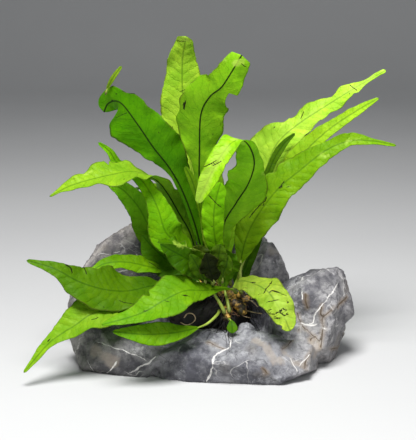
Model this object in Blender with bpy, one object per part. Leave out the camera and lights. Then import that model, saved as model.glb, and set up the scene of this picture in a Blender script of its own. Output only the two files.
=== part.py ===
"""Java fern grown on a stone, in metres, +Z up.

The origin is the centre of the stone's flat base. +X is to the right and +Y away from a viewer
who faces the plant. Every leaf (frond) is its own piece, rooted on one creeping stem (rhizome),
which lies on a clump of roots in the hollow of the stone.
"""
import math
from collections import namedtuple

import bmesh
import bpy
from mathutils import Matrix, Vector, noise

MM = 0.001

# Leaf blades: sheet thickness, length of one step along a blade and the narrowest half width.
LEAF_THICKNESS = 0.8
LEAF_STEP = 13.0
SMALL_LEAF_STEP = 8.0
NARROWEST = 0.7
# Share of the half width by which a blade's margins rise over its midrib.
LEAF_TROUGH = 0.16
# Height of the soft waves along a margin.
MARGIN_WAVE = 0.9

# Rhizome: the knobbly creeping stem, and the short branch that grows towards the front.
RHIZOME_RADIUS = 4.4
RHIZOME = [(-31, 15, 48), (-14, 9, 50), (2, 0, 49), (14, -8, 47), (25, -13, 44)]
BRANCH_RADIUS = 3.4
BRANCH = [(11.5, -13.5, 44.5), (9.5, -20, 44.5), (8, -28, 41.5), (7, -34, 36)]

# Fixes the noise that shifts the stone's faces, so that every build gives the same stone.
NOISE_SEED = 8
# Stone: each lump is an ellipsoid (centre, half axes) broken to flat faces, as limestone breaks.
Lump = namedtuple("Lump", "centre radii faces seed")
LUMPS = [
    Lump((-4, -4, 4), (90, 56, 15), 14, 1),
    Lump((14, -46, 8), (62, 26, 23), 16, 2),
    Lump((-67, -20, 9), (40, 38, 26), 14, 3),
    Lump((-55, 42, 38), (38, 28, 54), 15, 4),
    Lump((-79, 32, 28), (33, 34, 46), 13, 5),
    Lump((-14, 52, 26), (46, 22, 44), 13, 6),
    Lump((16, 50, 36), (27, 24, 51), 14, 7),
    Lump((34, 46, 26), (24, 26, 45), 12, 8),
    Lump((72, -6, 37), (27, 30, 27), 15, 9),
    Lump((65, -8, 19), (30, 35, 33), 15, 14),
]
STONE_EDGE = 13.0
STONE_ROUGHNESS = 1.3
STONE_GRAIN = 17.0

# Roots: the dark clump in the hollow, as a centre and half axes.
ROOT_CENTRE = (-6, -4, 30)
ROOT_RADII = (30, 22, 13)
# The stone's nest is cut this much wider than the clump.
ROOT_GAP = 0.6

GREENS = {
    "bright": (0.33, 0.62, 0.03, 1.0),
    "mid": (0.16, 0.42, 0.02, 1.0),
    "dark": (0.06, 0.20, 0.01, 1.0),
}

# route: millimetre points from the rhizome to the tip, through which the midrib runs.
# upper: where the upper side faces, at even steps from root to tip.
# stalk: share of the length that is bare stalk.
# widths: half widths to the left and right of the midrib, looking at the upper side with the
# tip up, at even steps from the end of the stalk to the tip.
Frond = namedtuple("Frond", "name green route upper stalk widths")
TO_VIEWER = (0, -1, 0.2)
FROM_VIEWER = (0, 1, 0.1)
TILTED_UP = (0, -0.7, 0.7)
FRONDS = [
    Frond("frond_back_tall", "bright",
          [(-2, 8, 54), (-4, 17, 68), (-10, 23, 94), (-17, 31, 127), (-23, 38, 163),
           (-25, 41, 190), (-25, 41, 214), (-22, 33, 233)],
          [TO_VIEWER, TO_VIEWER, TO_VIEWER, (0, -1, 0.5)], 0.133,
          [(1.5, 1.5), (4, 4), (7, 7), (11, 11), (15, 14), (17, 15), (17, 15), (16, 15), (13, 12),
           (10, 9), (6, 5)]),
    Frond("frond_left_tall", "mid",
          [(-5, 4, 55), (-9, 2, 72), (-16, 2, 100), (-25, 0, 125), (-34, -3, 142),
           (-45, -6, 157), (-56, -8, 174), (-68, -5, 189), (-77, 2, 188), (-81, 5, 181)],
          [FROM_VIEWER, FROM_VIEWER, FROM_VIEWER, (0.1, 1, 0.1), (0.2, 1, 0.2), (0.2, 1, 0.5)], 0.156,
          [(1.5, 1.5), (4, 3), (6, 3), (9, 3), (15, 4), (20, 10), (18, 18), (14, 22), (11, 15),
           (4, 4)]),
    Frond("frond_centre_tall", "mid",
          [(2, 0, 54), (-3, -9, 74), (-9, -12, 101), (-12, -16, 130), (-12, -20, 157),
           (-11, -25, 183), (-5, -29, 196), (3, -32, 203), (9, -33, 212), (17, -31, 225)],
          [FROM_VIEWER, FROM_VIEWER, FROM_VIEWER, (0, 1, 0.3)], 0.275,
          [(1.5, 1.5), (3, 3), (3, 3), (4, 4), (9, 9), (16, 14), (17, 18), (17, 16), (13, 13),
           (12, 11), (8, 7)]),
    Frond("frond_over_arching", "mid",
          [(11, -5, 53), (6, -15, 75), (5, -19, 102), (14, -22, 120), (22, -26, 134),
           (26, -35, 150), (23, -45, 163), (17, -52, 170), (9, -58, 168), (1, -63, 158),
           (-6, -66, 145), (-13, -65, 129)],
          [FROM_VIEWER, FROM_VIEWER, (-0.2, 1, 0.1), (-0.4, 0.9, 0.4), (-0.3, 0, 1), (-0.2, -1, 0.4),
           (0, -1, 0)], 0.098,
          [(1.5, 1.5), (4, 4), (8, 7), (13, 10), (20, 14), (11, 18), (5, 13), (5, 10), (7, 8), (7, 7),
           (6, 6), (2, 2)]),
    Frond("frond_right_long", "bright",
          [(9, 3, 53), (14, 9, 64), (22, 16, 86), (31, 24, 110), (37, 30, 132), (45, 34, 152),
           (60, 38, 166), (85, 42, 182), (108, 44, 196), (127, 44, 207)],
          [TO_VIEWER, (-0.2, -0.9, 0.3), (-0.3, -0.8, 0.6), (-0.3, -0.7, 0.7)], 0.1,
          [(2, 2), (5, 4.5), (8, 7), (9.5, 8), (11, 9), (12.5, 10.5), (14, 12), (15.5, 13), (17, 14),
           (18, 15), (18, 15), (15, 15), (11, 14), (9, 12), (9, 11), (9.5, 10), (8, 8), (5, 8),
           (6.5, 7), (5, 5), (2, 2), (2, 2), (2, 2)]),
    Frond("frond_right_slender", "mid",
          [(15, -3, 52), (19, 0, 68), (29, 4, 91), (43, 8, 119), (61, 12, 146), (80, 14, 165),
           (100, 15, 179), (118, 14, 190)],
          [TO_VIEWER, (-0.2, -0.9, 0.3), (-0.3, -0.8, 0.6)], 0.156,
          [(1.5, 1.5), (4, 4), (6, 6), (8, 8), (9, 9), (9, 8), (7, 6), (5, 5), (4, 4), (1, 1)]),
    Frond("frond_right_low", "mid",
          [(18, -8, 52), (18, -11, 75), (25, -12, 100), (42, -10, 125), (60, -9, 141),
           (78, -8, 155), (95, -8, 162), (112, -9, 162), (128, -10, 159)],
          [TO_VIEWER, (-0.2, -0.9, 0.2), (-0.3, -0.8, 0.4), (0, -0.8, 0.6)], 0.12,
          [(1.5, 1.5), (8, 9), (12, 13), (12, 14), (13, 12), (13, 11), (9, 9), (6, 7), (6, 4), (2, 3),
           (1, 1)]),
    Frond("frond_right_short", "dark",
          [(20, -3, 51), (22, 4, 70), (26, 12, 94), (33, 17, 118), (42, 20, 142), (50, 21, 155),
           (58, 21, 163)],
          [TO_VIEWER, (-0.2, -0.9, 0.3)], 0.22,
          [(1.2, 1.2), (2, 2), (3, 3), (4, 4), (3, 3), (3, 3), (1, 1)]),
    Frond("frond_left_arching", "bright",
          [(-12, 13, 54), (-18, 13, 86), (-28, 12, 106), (-36, 9, 121), (-43, 4, 131),
           (-52, -2, 137), (-62, -9, 140), (-74, -15, 139), (-90, -20, 136), (-104, -23, 132),
           (-118, -24, 125)],
          [(0.2, 1, 0), (0.2, 1, 0.1), (0.2, 0.9, 0.5), (0, 0.1, 1), (0, -0.45, 0.9),
           (-0.1, -0.55, 0.8), (-0.2, -0.5, 0.8)], 0.15,
          [(1.5, 1.5), (5, 6), (8, 8), (10, 9), (10, 8), (10, 9), (13, 13), (14, 14), (8, 9), (4, 5),
           (1, 1)]),
    Frond("frond_left_curled", "mid",
          [(-18, 8, 54), (-21, 2, 78), (-36, -4, 93), (-42, -2, 110), (-48, 2, 122), (-57, 8, 133),
           (-72, 12, 142), (-78, 12, 151), (-86, 10, 158)],
          [TO_VIEWER, TO_VIEWER, (0.2, -1, 0.2), (0.3, -1, 0)], 0.14,
          [(1.5, 1.5), (10, 8), (13, 13), (9, 10), (6, 7), (5, 5), (4, 4), (3, 3), (1, 1)]),
    Frond("frond_left_rear", "dark",
          [(-21, 17, 53), (-28, 17, 67), (-42, 19, 79), (-51, 22, 94), (-58, 23, 107),
           (-68, 22, 119), (-77, 19, 126), (-85, 15, 132)],
          [TO_VIEWER, TO_VIEWER, (0, -1, 0.4)], 0.2,
          [(1.5, 1.5), (9, 8), (12, 12), (10, 11), (8, 8), (5, 5), (1, 1)]),
    Frond("frond_crown_left", "mid",
          [(-8, 0, 53), (-9, -8, 64), (-13, -20, 78), (-22, -31, 89), (-32, -40, 95),
           (-41, -46, 97)],
          [(0.3, 0.2, 1), (0, -0.5, 0.8)], 0.125,
          [(1.2, 1.2), (4, 4), (7, 8), (8, 10), (6, 6), (1, 1)]),
    Frond("frond_crown_crinkled", "dark",
          [(6.5, -36, 41), (3, -36, 49), (-3, -31.5, 58), (-7, -31, 68), (-10, -36, 78),
           (-12, -40, 87), (-13, -40, 94)],
          [(0, -1, 0.4), (0, -1, 0.2), (0, -0.95, 0.3), (0, -0.5, 0.9)], 0.36,
          [(1.2, 1.2), (3, 2), (8, 5), (11, 7), (12, 8), (10, 8), (4, 4)]),
    Frond("frond_crown_front", "dark",
          [(9.5, -35, 41.5), (8, -28.5, 49), (6.5, -21, 53), (6, -17.5, 60), (6, -20.5, 70),
           (6, -24, 79), (6, -28, 88)],
          [TO_VIEWER, TO_VIEWER, TO_VIEWER], 0.4,
          [(1.2, 1.2), (5, 5), (8, 9), (9, 12), (8, 9), (3, 3)]),
    Frond("frond_rolled_tip", "mid",
          [(3, -6, 52), (-2, -15, 74), (-8, -19, 95), (-12, -24, 118), (-17, -29, 137),
           (-22, -32, 148)],
          [TO_VIEWER, TO_VIEWER], 0.6,
          [(1.2, 1.2), (2, 2), (3, 3), (1.5, 1.5)]),
    Frond("frond_crown_upright", "mid",
          [(8, -8, 53), (3, -19, 76), (-1, -24, 94), (-2, -27, 112), (0, -30, 126), (3, -33, 137)],
          [TO_VIEWER, TO_VIEWER], 0.16,
          [(1.2, 1.2), (4, 4), (6, 6), (8, 7), (9, 8), (8, 7), (4, 4)]),
    Frond("frond_low_left", "bright",
          [(-24, 6, 51), (-34, -8, 56), (-48, -21, 58), (-64, -33, 58), (-80, -42, 62),
           (-97, -46, 69), (-113, -46, 78), (-133, -42, 83)],
          [TILTED_UP, (-0.1, -0.75, 0.65), (-0.1, -0.75, 0.65)], 0.15,
          [(1.5, 1.5), (6, 6), (11, 11), (16, 16), (17, 17), (14, 13), (7, 7), (4, 4), (1, 1)]),
    Frond("frond_left_bent", "mid",
          [(-28, 15, 54), (-37, 8, 61), (-50, 0, 67), (-66, -6, 72), (-81, -10, 72),
           (-93, -14, 66)],
          [(0, -0.6, 0.8), TILTED_UP, TILTED_UP], 0.2,
          [(1.5, 1.5), (6, 6), (7, 7), (6, 6), (4, 4), (1, 1)]),
    Frond("frond_drooping_left", "bright",
          [(-33, 9, 45), (-42, -10, 47), (-58, -34, 47), (-76, -48, 49), (-88, -54, 47),
           (-98, -59, 41), (-107, -62, 36), (-117, -66, 29), (-133, -72, 11)],
          [(0, -0.6, 0.8), (-0.1, -0.7, 0.7), (-0.2, -0.7, 0.7)], 0.35,
          [(1.5, 1.5), (9, 9), (15, 17), (11, 14), (7, 10), (4, 5), (3, 3), (1, 1)]),
    Frond("frond_front_low", "mid",
          [(2.5, -29, 43), (0, -40, 42), (-8, -52, 39), (-21, -62, 38), (-34, -68, 38),
           (-50, -73, 39), (-71, -76, 42)],
          [(0, -0.3, 1), (0, -0.8, 0.6), (0, -0.8, 0.5)], 0.35,
          [(1.2, 1.2), (5, 5), (8, 8), (8, 8), (5, 5), (1, 1)]),
    Frond("frond_front_broad", "bright",
          [(15, -15, 51), (11, -24, 57), (3, -32, 59), (-8, -42, 61), (-22, -53, 64),
           (-36, -62, 60), (-49, -69, 54), (-62, -75, 51), (-78, -80, 48)],
          [(-0.2, -0.3, 1), (-0.2, -0.75, 0.65), (-0.2, -0.75, 0.65), (-0.2, -0.75, 0.65)], 0.1,
          [(1.5, 1.5), (3, 4), (6, 7), (11, 12), (15, 15), (14, 13), (8, 8), (4, 5), (1, 1)]),
    Frond("frond_front_right", "bright",
          [(21, -15, 50), (20, -22, 57), (23, -29, 62), (29, -37, 64), (36, -45, 61),
           (42, -52, 54), (47, -57, 46), (51, -60, 37)],
          [(0.1, -0.6, 0.7), (0.1, -0.8, 0.6), (0.3, -0.95, 0.1)], 0.1,
          [(1.5, 1.5), (5, 8), (7, 10), (9, 11), (11, 11), (11, 11), (10, 10), (8, 8), (4, 4)]),
    Frond("plantlet", "bright",
          [(-79, -4, 194), (-77, -4, 200), (-73, -5, 207), (-67, -5, 215)],
          [TO_VIEWER, TO_VIEWER], 0.2,
          [(1, 1), (1.6, 1.6), (1.6, 1.6), (1, 1)]),
    Frond("small_round_leaf", "dark",
          [(8, -36, 38), (10, -41, 39), (11, -45, 36), (11, -47, 31)],
          [(0, -0.3, 1), TO_VIEWER], 0.4,
          [(1, 1), (3, 3), (4, 4), (2, 2)]),
    Frond("frond_crown_rear", "dark",
          [(17, 1.5, 50), (22, 11, 64), (28, 23, 80), (34, 31, 94), (39, 35, 105)],
          [TO_VIEWER, (-0.2, -0.9, 0.3)], 0.12,
          [(1.5, 1.5), (8, 9), (11, 12), (8, 9), (1, 1)]),
    Frond("frond_rear_left", "mid",
          [(-15, 16, 51), (-20, 23, 75), (-29, 33, 98), (-43, 46, 112), (-56, 58, 115),
           (-68, 67, 108)],
          [(0.2, -1, 0.2), (0.3, -0.4, 0.8), (-0.4, 0.4, 0.9)], 0.125,
          [(1.5, 1.5), (4, 4), (7, 7), (12, 12), (13, 13), (10, 10), (5, 5), (1, 1)]),
    Frond("frond_rear_right", "mid",
          [(5, 6, 51), (8, 15, 72), (14, 26, 94), (30, 43, 112), (44, 54, 120), (58, 60, 122)],
          [(-0.2, -1, 0.2), (-0.2, -0.6, 0.8), (0.2, 0.3, 1)], 0.125,
          [(1.5, 1.5), (4, 4), (6, 6), (10, 10), (11, 11), (9, 9), (5, 5), (1, 1)]),
    Frond("frond_rear_centre", "mid",
          [(-7, 12, 52), (-8, 26, 74), (-7, 42, 102), (-6, 56, 128), (-6, 66, 146),
           (-7, 74, 153)],
          [(0, -1, 0.2), (0, -0.8, 0.6), (0, -0.3, 1)], 0.125,
          [(1.5, 1.5), (4, 4), (8, 8), (12, 12), (13, 13), (10, 10), (6, 6), (1, 1)]),
]


def clear_scene():
    for item in list(bpy.data.objects):
        bpy.data.objects.remove(item, do_unlink=True)


def material(name, colour, roughness):
    made = bpy.data.materials.new(name)
    made.use_nodes = True
    shader = made.node_tree.nodes["Principled BSDF"]
    shader.inputs["Base Color"].default_value = colour
    shader.inputs["Roughness"].default_value = roughness
    shader.inputs["Metallic"].default_value = 0.0
    return made


def add_object(name, bm, finish, smooth_below=None):
    mesh = bpy.data.meshes.new(name)
    bm.to_mesh(mesh)
    bm.free()
    mesh.materials.append(finish)
    if smooth_below is not None:
        mesh.shade_smooth()
        mesh.set_sharp_from_angle(angle=math.radians(smooth_below))
    made = bpy.data.objects.new(name, mesh)
    bpy.context.scene.collection.objects.link(made)
    return made


def spline_point(points, place):
    """A point on the smooth curve through the points; place counts in whole points from 0."""
    last = len(points) - 1
    step = min(int(place), last - 1)
    t = place - step
    p1, p2 = Vector(points[step]), Vector(points[step + 1])
    p0 = Vector(points[step - 1]) if step > 0 else 2 * p1 - p2
    p3 = Vector(points[step + 2]) if step + 2 <= last else 2 * p2 - p1
    return 0.5 * (2 * p1 + (p2 - p0) * t + (2 * p0 - 5 * p1 + 4 * p2 - p3) * t * t
                  + (3 * p1 - p0 - 3 * p2 + p3) * t ** 3)


def even_route(points, step):
    """Points and directions at even steps of about the given length along the smooth curve."""
    fine_count = 24 * (len(points) - 1)
    fine = [spline_point(points, (len(points) - 1) * i / fine_count) for i in range(fine_count + 1)]
    reach = [0.0]
    for before, after in zip(fine, fine[1:]):
        reach.append(reach[-1] + (after - before).length)
    count = max(4, round(reach[-1] / step))
    places, nearest = [], 0
    for i in range(count + 1):
        target = reach[-1] * i / count
        while nearest < fine_count - 1 and reach[nearest + 1] < target:
            nearest += 1
        share = (target - reach[nearest]) / (reach[nearest + 1] - reach[nearest])
        places.append(fine[nearest].lerp(fine[nearest + 1], share))
    ahead = places[1:] + [2 * places[-1] - places[-2]]
    behind = [2 * places[0] - places[1]] + places[:-1]
    return places, [(a - b).normalized() for a, b in zip(ahead, behind)]


def between(values, share):
    """The value at a share from 0 to 1 of a list of evenly spaced tuples, blended straight."""
    place = min(max(share, 0.0), 1.0) * (len(values) - 1)
    step = min(int(place), len(values) - 2)
    return Vector(values[step]).lerp(Vector(values[step + 1]), place - step)


def build_frond(frond, finish):
    """A blade as a sheet that follows its route, given its thickness by a Solidify modifier."""
    widest = max(max(pair) for pair in frond.widths)
    small = widest < 8
    rows, directions = even_route(frond.route, SMALL_LEAF_STEP if small else LEAF_STEP)
    spans = 2 if small else 4
    bm = bmesh.new()
    bmesh.ops.create_grid(bm, x_segments=spans, y_segments=len(rows) - 1, size=1.0)
    bm.verts.ensure_lookup_table()
    for corner in bm.verts:
        across = corner.co.x
        row = round((corner.co.y + 1) / 2 * (len(rows) - 1))
        along = row / (len(rows) - 1)
        upper = between(frond.upper, along)
        direction = directions[row]
        upper = (upper - direction * upper.dot(direction)).normalized()
        side = direction.cross(upper)
        if along <= frond.stalk:
            left = right = frond.widths[0][0]
        else:
            blade = (along - frond.stalk) / (1 - frond.stalk)
            left, right = between(frond.widths, blade)
        half = max(NARROWEST, left if across < 0 else right)
        wave = MARGIN_WAVE * math.sin(row * 1.9 + (2 if across < 0 else 0)) * min(1, half / 10)
        lift = half * LEAF_TROUGH * abs(across) + wave * abs(across) ** 2
        corner.co = (rows[row] + side * across * half + upper * lift) * MM
    leaf = add_object(frond.name, bm, finish, 60)
    wall = leaf.modifiers.new("thickness", "SOLIDIFY")
    wall.thickness = LEAF_THICKNESS * MM
    wall.offset = 0.0
    return leaf


def sphere_directions(count, seed):
    """Directions spread evenly over a ball, each shifted a little by smooth noise."""
    golden = math.pi * (3 - math.sqrt(5))
    for i in range(count):
        height = 1 - 2 * (i + 0.5) / count
        ring = math.sqrt(1 - height * height)
        turn = golden * i + seed
        direction = Vector((ring * math.cos(turn), ring * math.sin(turn), height))
        shift = noise.noise_vector(direction * 2.3 + Vector((seed * 7.1, 3.0, 5.0)))
        yield i, (direction + 0.45 * shift).normalized()


def build_lump(lump, name):
    """A block cut by flat planes that touch an ellipsoid, some a little deeper than others."""
    bm = bmesh.new()
    bmesh.ops.create_cube(bm, size=2.4)
    for i, direction in sphere_directions(lump.faces, lump.seed):
        depth = 0.88 + 0.1 * math.sin(i * 2.4 + lump.seed)
        parts = bm.verts[:] + bm.edges[:] + bm.faces[:]
        cut = bmesh.ops.bisect_plane(bm, geom=parts, plane_co=direction * depth, plane_no=direction,
                                     clear_outer=True)
        rim = [part for part in cut["geom_cut"] if isinstance(part, bmesh.types.BMEdge)]
        if rim:
            bmesh.ops.contextual_create(bm, geom=rim)
    bmesh.ops.remove_doubles(bm, verts=bm.verts, dist=0.02)
    bmesh.ops.recalc_face_normals(bm, faces=bm.faces)
    place = Matrix.Translation(Vector(lump.centre) * MM) @ Matrix.Diagonal(
        [radius * MM for radius in lump.radii] + [1])
    bmesh.ops.transform(bm, matrix=place, verts=bm.verts)
    mesh = bpy.data.meshes.new(name)
    bm.to_mesh(mesh)
    bm.free()
    made = bpy.data.objects.new(name, mesh)
    bpy.context.scene.collection.objects.link(made)
    return made


def build_stone(finish, cutter):
    """The lumps joined to one block, cut flat underneath, its faces broken up finely.

    The cutter is the nest in which the roots sit.
    """
    pieces = [build_lump(lump, "lump_%d" % i) for i, lump in enumerate(LUMPS)]
    first = pieces[0]
    for other in pieces[1:]:
        joint = first.modifiers.new("join", "BOOLEAN")
        joint.operation = "UNION"
        joint.object = other
    bpy.context.view_layer.update()
    joined = bpy.data.meshes.new_from_object(first.evaluated_get(
        bpy.context.evaluated_depsgraph_get()))
    for piece in pieces:
        bpy.data.objects.remove(piece, do_unlink=True)
    bm = bmesh.new()
    bm.from_mesh(joined)
    bpy.data.meshes.remove(joined)
    parts = bm.verts[:] + bm.edges[:] + bm.faces[:]
    cut = bmesh.ops.bisect_plane(bm, geom=parts, plane_co=(0, 0, 0), plane_no=(0, 0, -1),
                                 clear_outer=True)
    rim = [part for part in cut["geom_cut"] if isinstance(part, bmesh.types.BMEdge)]
    bmesh.ops.contextual_create(bm, geom=rim)
    bmesh.ops.remove_doubles(bm, verts=bm.verts, dist=2.0 * MM)
    bmesh.ops.dissolve_degenerate(bm, edges=bm.edges, dist=0.2 * MM)
    bmesh.ops.triangulate(bm, faces=bm.faces)
    for _ in range(3):
        long_edges = [edge for edge in bm.edges if edge.calc_length() > STONE_EDGE * MM
                      and max(end.co.z for end in edge.verts) > 0.5 * MM]
        bmesh.ops.subdivide_edges(bm, edges=long_edges, cuts=1)
        bmesh.ops.triangulate(bm, faces=bm.faces)
    for corner in bm.verts:
        if corner.co.z > 0.5 * MM:
            shift = noise.noise_vector(corner.co / (STONE_GRAIN * MM)) * STONE_ROUGHNESS * MM
            corner.co += shift * min(1.0, corner.co.z / (6 * MM))
    bmesh.ops.recalc_face_normals(bm, faces=bm.faces)
    block = add_object("stone", bm, finish)
    nest = block.modifiers.new("nest", "BOOLEAN")
    nest.operation = "DIFFERENCE"
    nest.object = cutter
    return block


def build_tube(name, route, radius, knob, finish):
    """A closed knobbly tube along a route, wider and narrower as a rhizome is, round-ended."""
    rows, directions = even_route(route, 6.0)
    sides = 10
    bm = bmesh.new()
    rings = []
    for row, (place, direction) in enumerate(zip(rows, directions)):
        end_share = min(row, len(rows) - 1 - row)
        size = radius * (0.6 if end_share == 0 else 1.0 + knob * math.sin(row * 2.1))
        side = direction.cross(Vector((0, 0, 1))).normalized()
        top = side.cross(direction)
        rings.append([bm.verts.new((place + size * (side * math.cos(turn) + top * math.sin(turn))) * MM)
                      for turn in [2 * math.pi * i / sides for i in range(sides)]])
    for low, high in zip(rings, rings[1:]):
        for i in range(sides):
            bm.faces.new((low[i], low[(i + 1) % sides], high[(i + 1) % sides], high[i]))
    bm.faces.new(rings[0])
    bm.faces.new(rings[-1])
    bmesh.ops.recalc_face_normals(bm, faces=bm.faces)
    return add_object(name, bm, finish, 50)


def build_roots(name, finish, spare=0.0):
    """The clump of roots as one lumpy cushion; spare makes the wider copy that cuts its nest."""
    bm = bmesh.new()
    bmesh.ops.create_icosphere(bm, subdivisions=3, radius=1.0)
    for corner in bm.verts:
        swell = 1 + 0.06 * noise.noise(corner.co * 2.6)
        corner.co = Vector([c + (r * swell + spare) * p for c, r, p in
                            zip(ROOT_CENTRE, ROOT_RADII, corner.co)]) * MM
    bmesh.ops.recalc_face_normals(bm, faces=bm.faces)
    return add_object(name, bm, finish, 60)


def main():
    noise.seed_set(NOISE_SEED)
    clear_scene()
    greens = {name: material("leaf_" + name, colour, 0.4) for name, colour in GREENS.items()}
    stone = material("limestone", (0.30, 0.30, 0.33, 1.0), 0.75)
    brown = material("rhizome", (0.16, 0.12, 0.03, 1.0), 0.6)
    root = material("root", (0.05, 0.035, 0.02, 1.0), 0.8)
    build_roots("root_clump", root)
    cutter = build_roots("root_nest", root, spare=ROOT_GAP)
    cutter.hide_render = True
    cutter.display_type = "WIRE"
    build_stone(stone, cutter)
    build_tube("rhizome", RHIZOME, RHIZOME_RADIUS, 0.1, brown)
    build_tube("rhizome_branch", BRANCH, BRANCH_RADIUS, 0.08, brown)
    for frond in FRONDS:
        build_frond(frond, greens[frond.green])


main()
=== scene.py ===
import math
import random
from collections import namedtuple

import bmesh
import bpy
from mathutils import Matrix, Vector, noise
from mathutils.bvhtree import BVHTree


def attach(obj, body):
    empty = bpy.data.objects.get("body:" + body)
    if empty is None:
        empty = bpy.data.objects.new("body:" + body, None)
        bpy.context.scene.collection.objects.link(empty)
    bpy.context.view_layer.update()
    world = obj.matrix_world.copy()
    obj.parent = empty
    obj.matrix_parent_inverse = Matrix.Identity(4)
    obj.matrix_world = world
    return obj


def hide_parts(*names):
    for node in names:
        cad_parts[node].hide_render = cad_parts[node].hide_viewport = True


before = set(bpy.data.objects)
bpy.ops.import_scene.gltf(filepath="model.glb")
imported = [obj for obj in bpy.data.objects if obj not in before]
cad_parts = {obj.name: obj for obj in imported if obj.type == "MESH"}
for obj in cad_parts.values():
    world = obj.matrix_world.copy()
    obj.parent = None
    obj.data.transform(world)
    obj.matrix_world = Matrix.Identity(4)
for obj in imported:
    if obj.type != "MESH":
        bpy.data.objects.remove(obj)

bl_info = {
    "name": "Java fern on stone",
    "version": (1, 0, 0),
    "blender": (4, 5, 0),
    "location": "View3D > Sidebar > Java Fern",
    "description": "Leaves, rhizome, roots and limestone of a java fern grown on a stone",
    "category": "Add Mesh",
}

MM = 0.001
# Fixes Blender's own noise, so that every run gives the same pieces.
NOISE_SEED = 8

# Leaves

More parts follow.
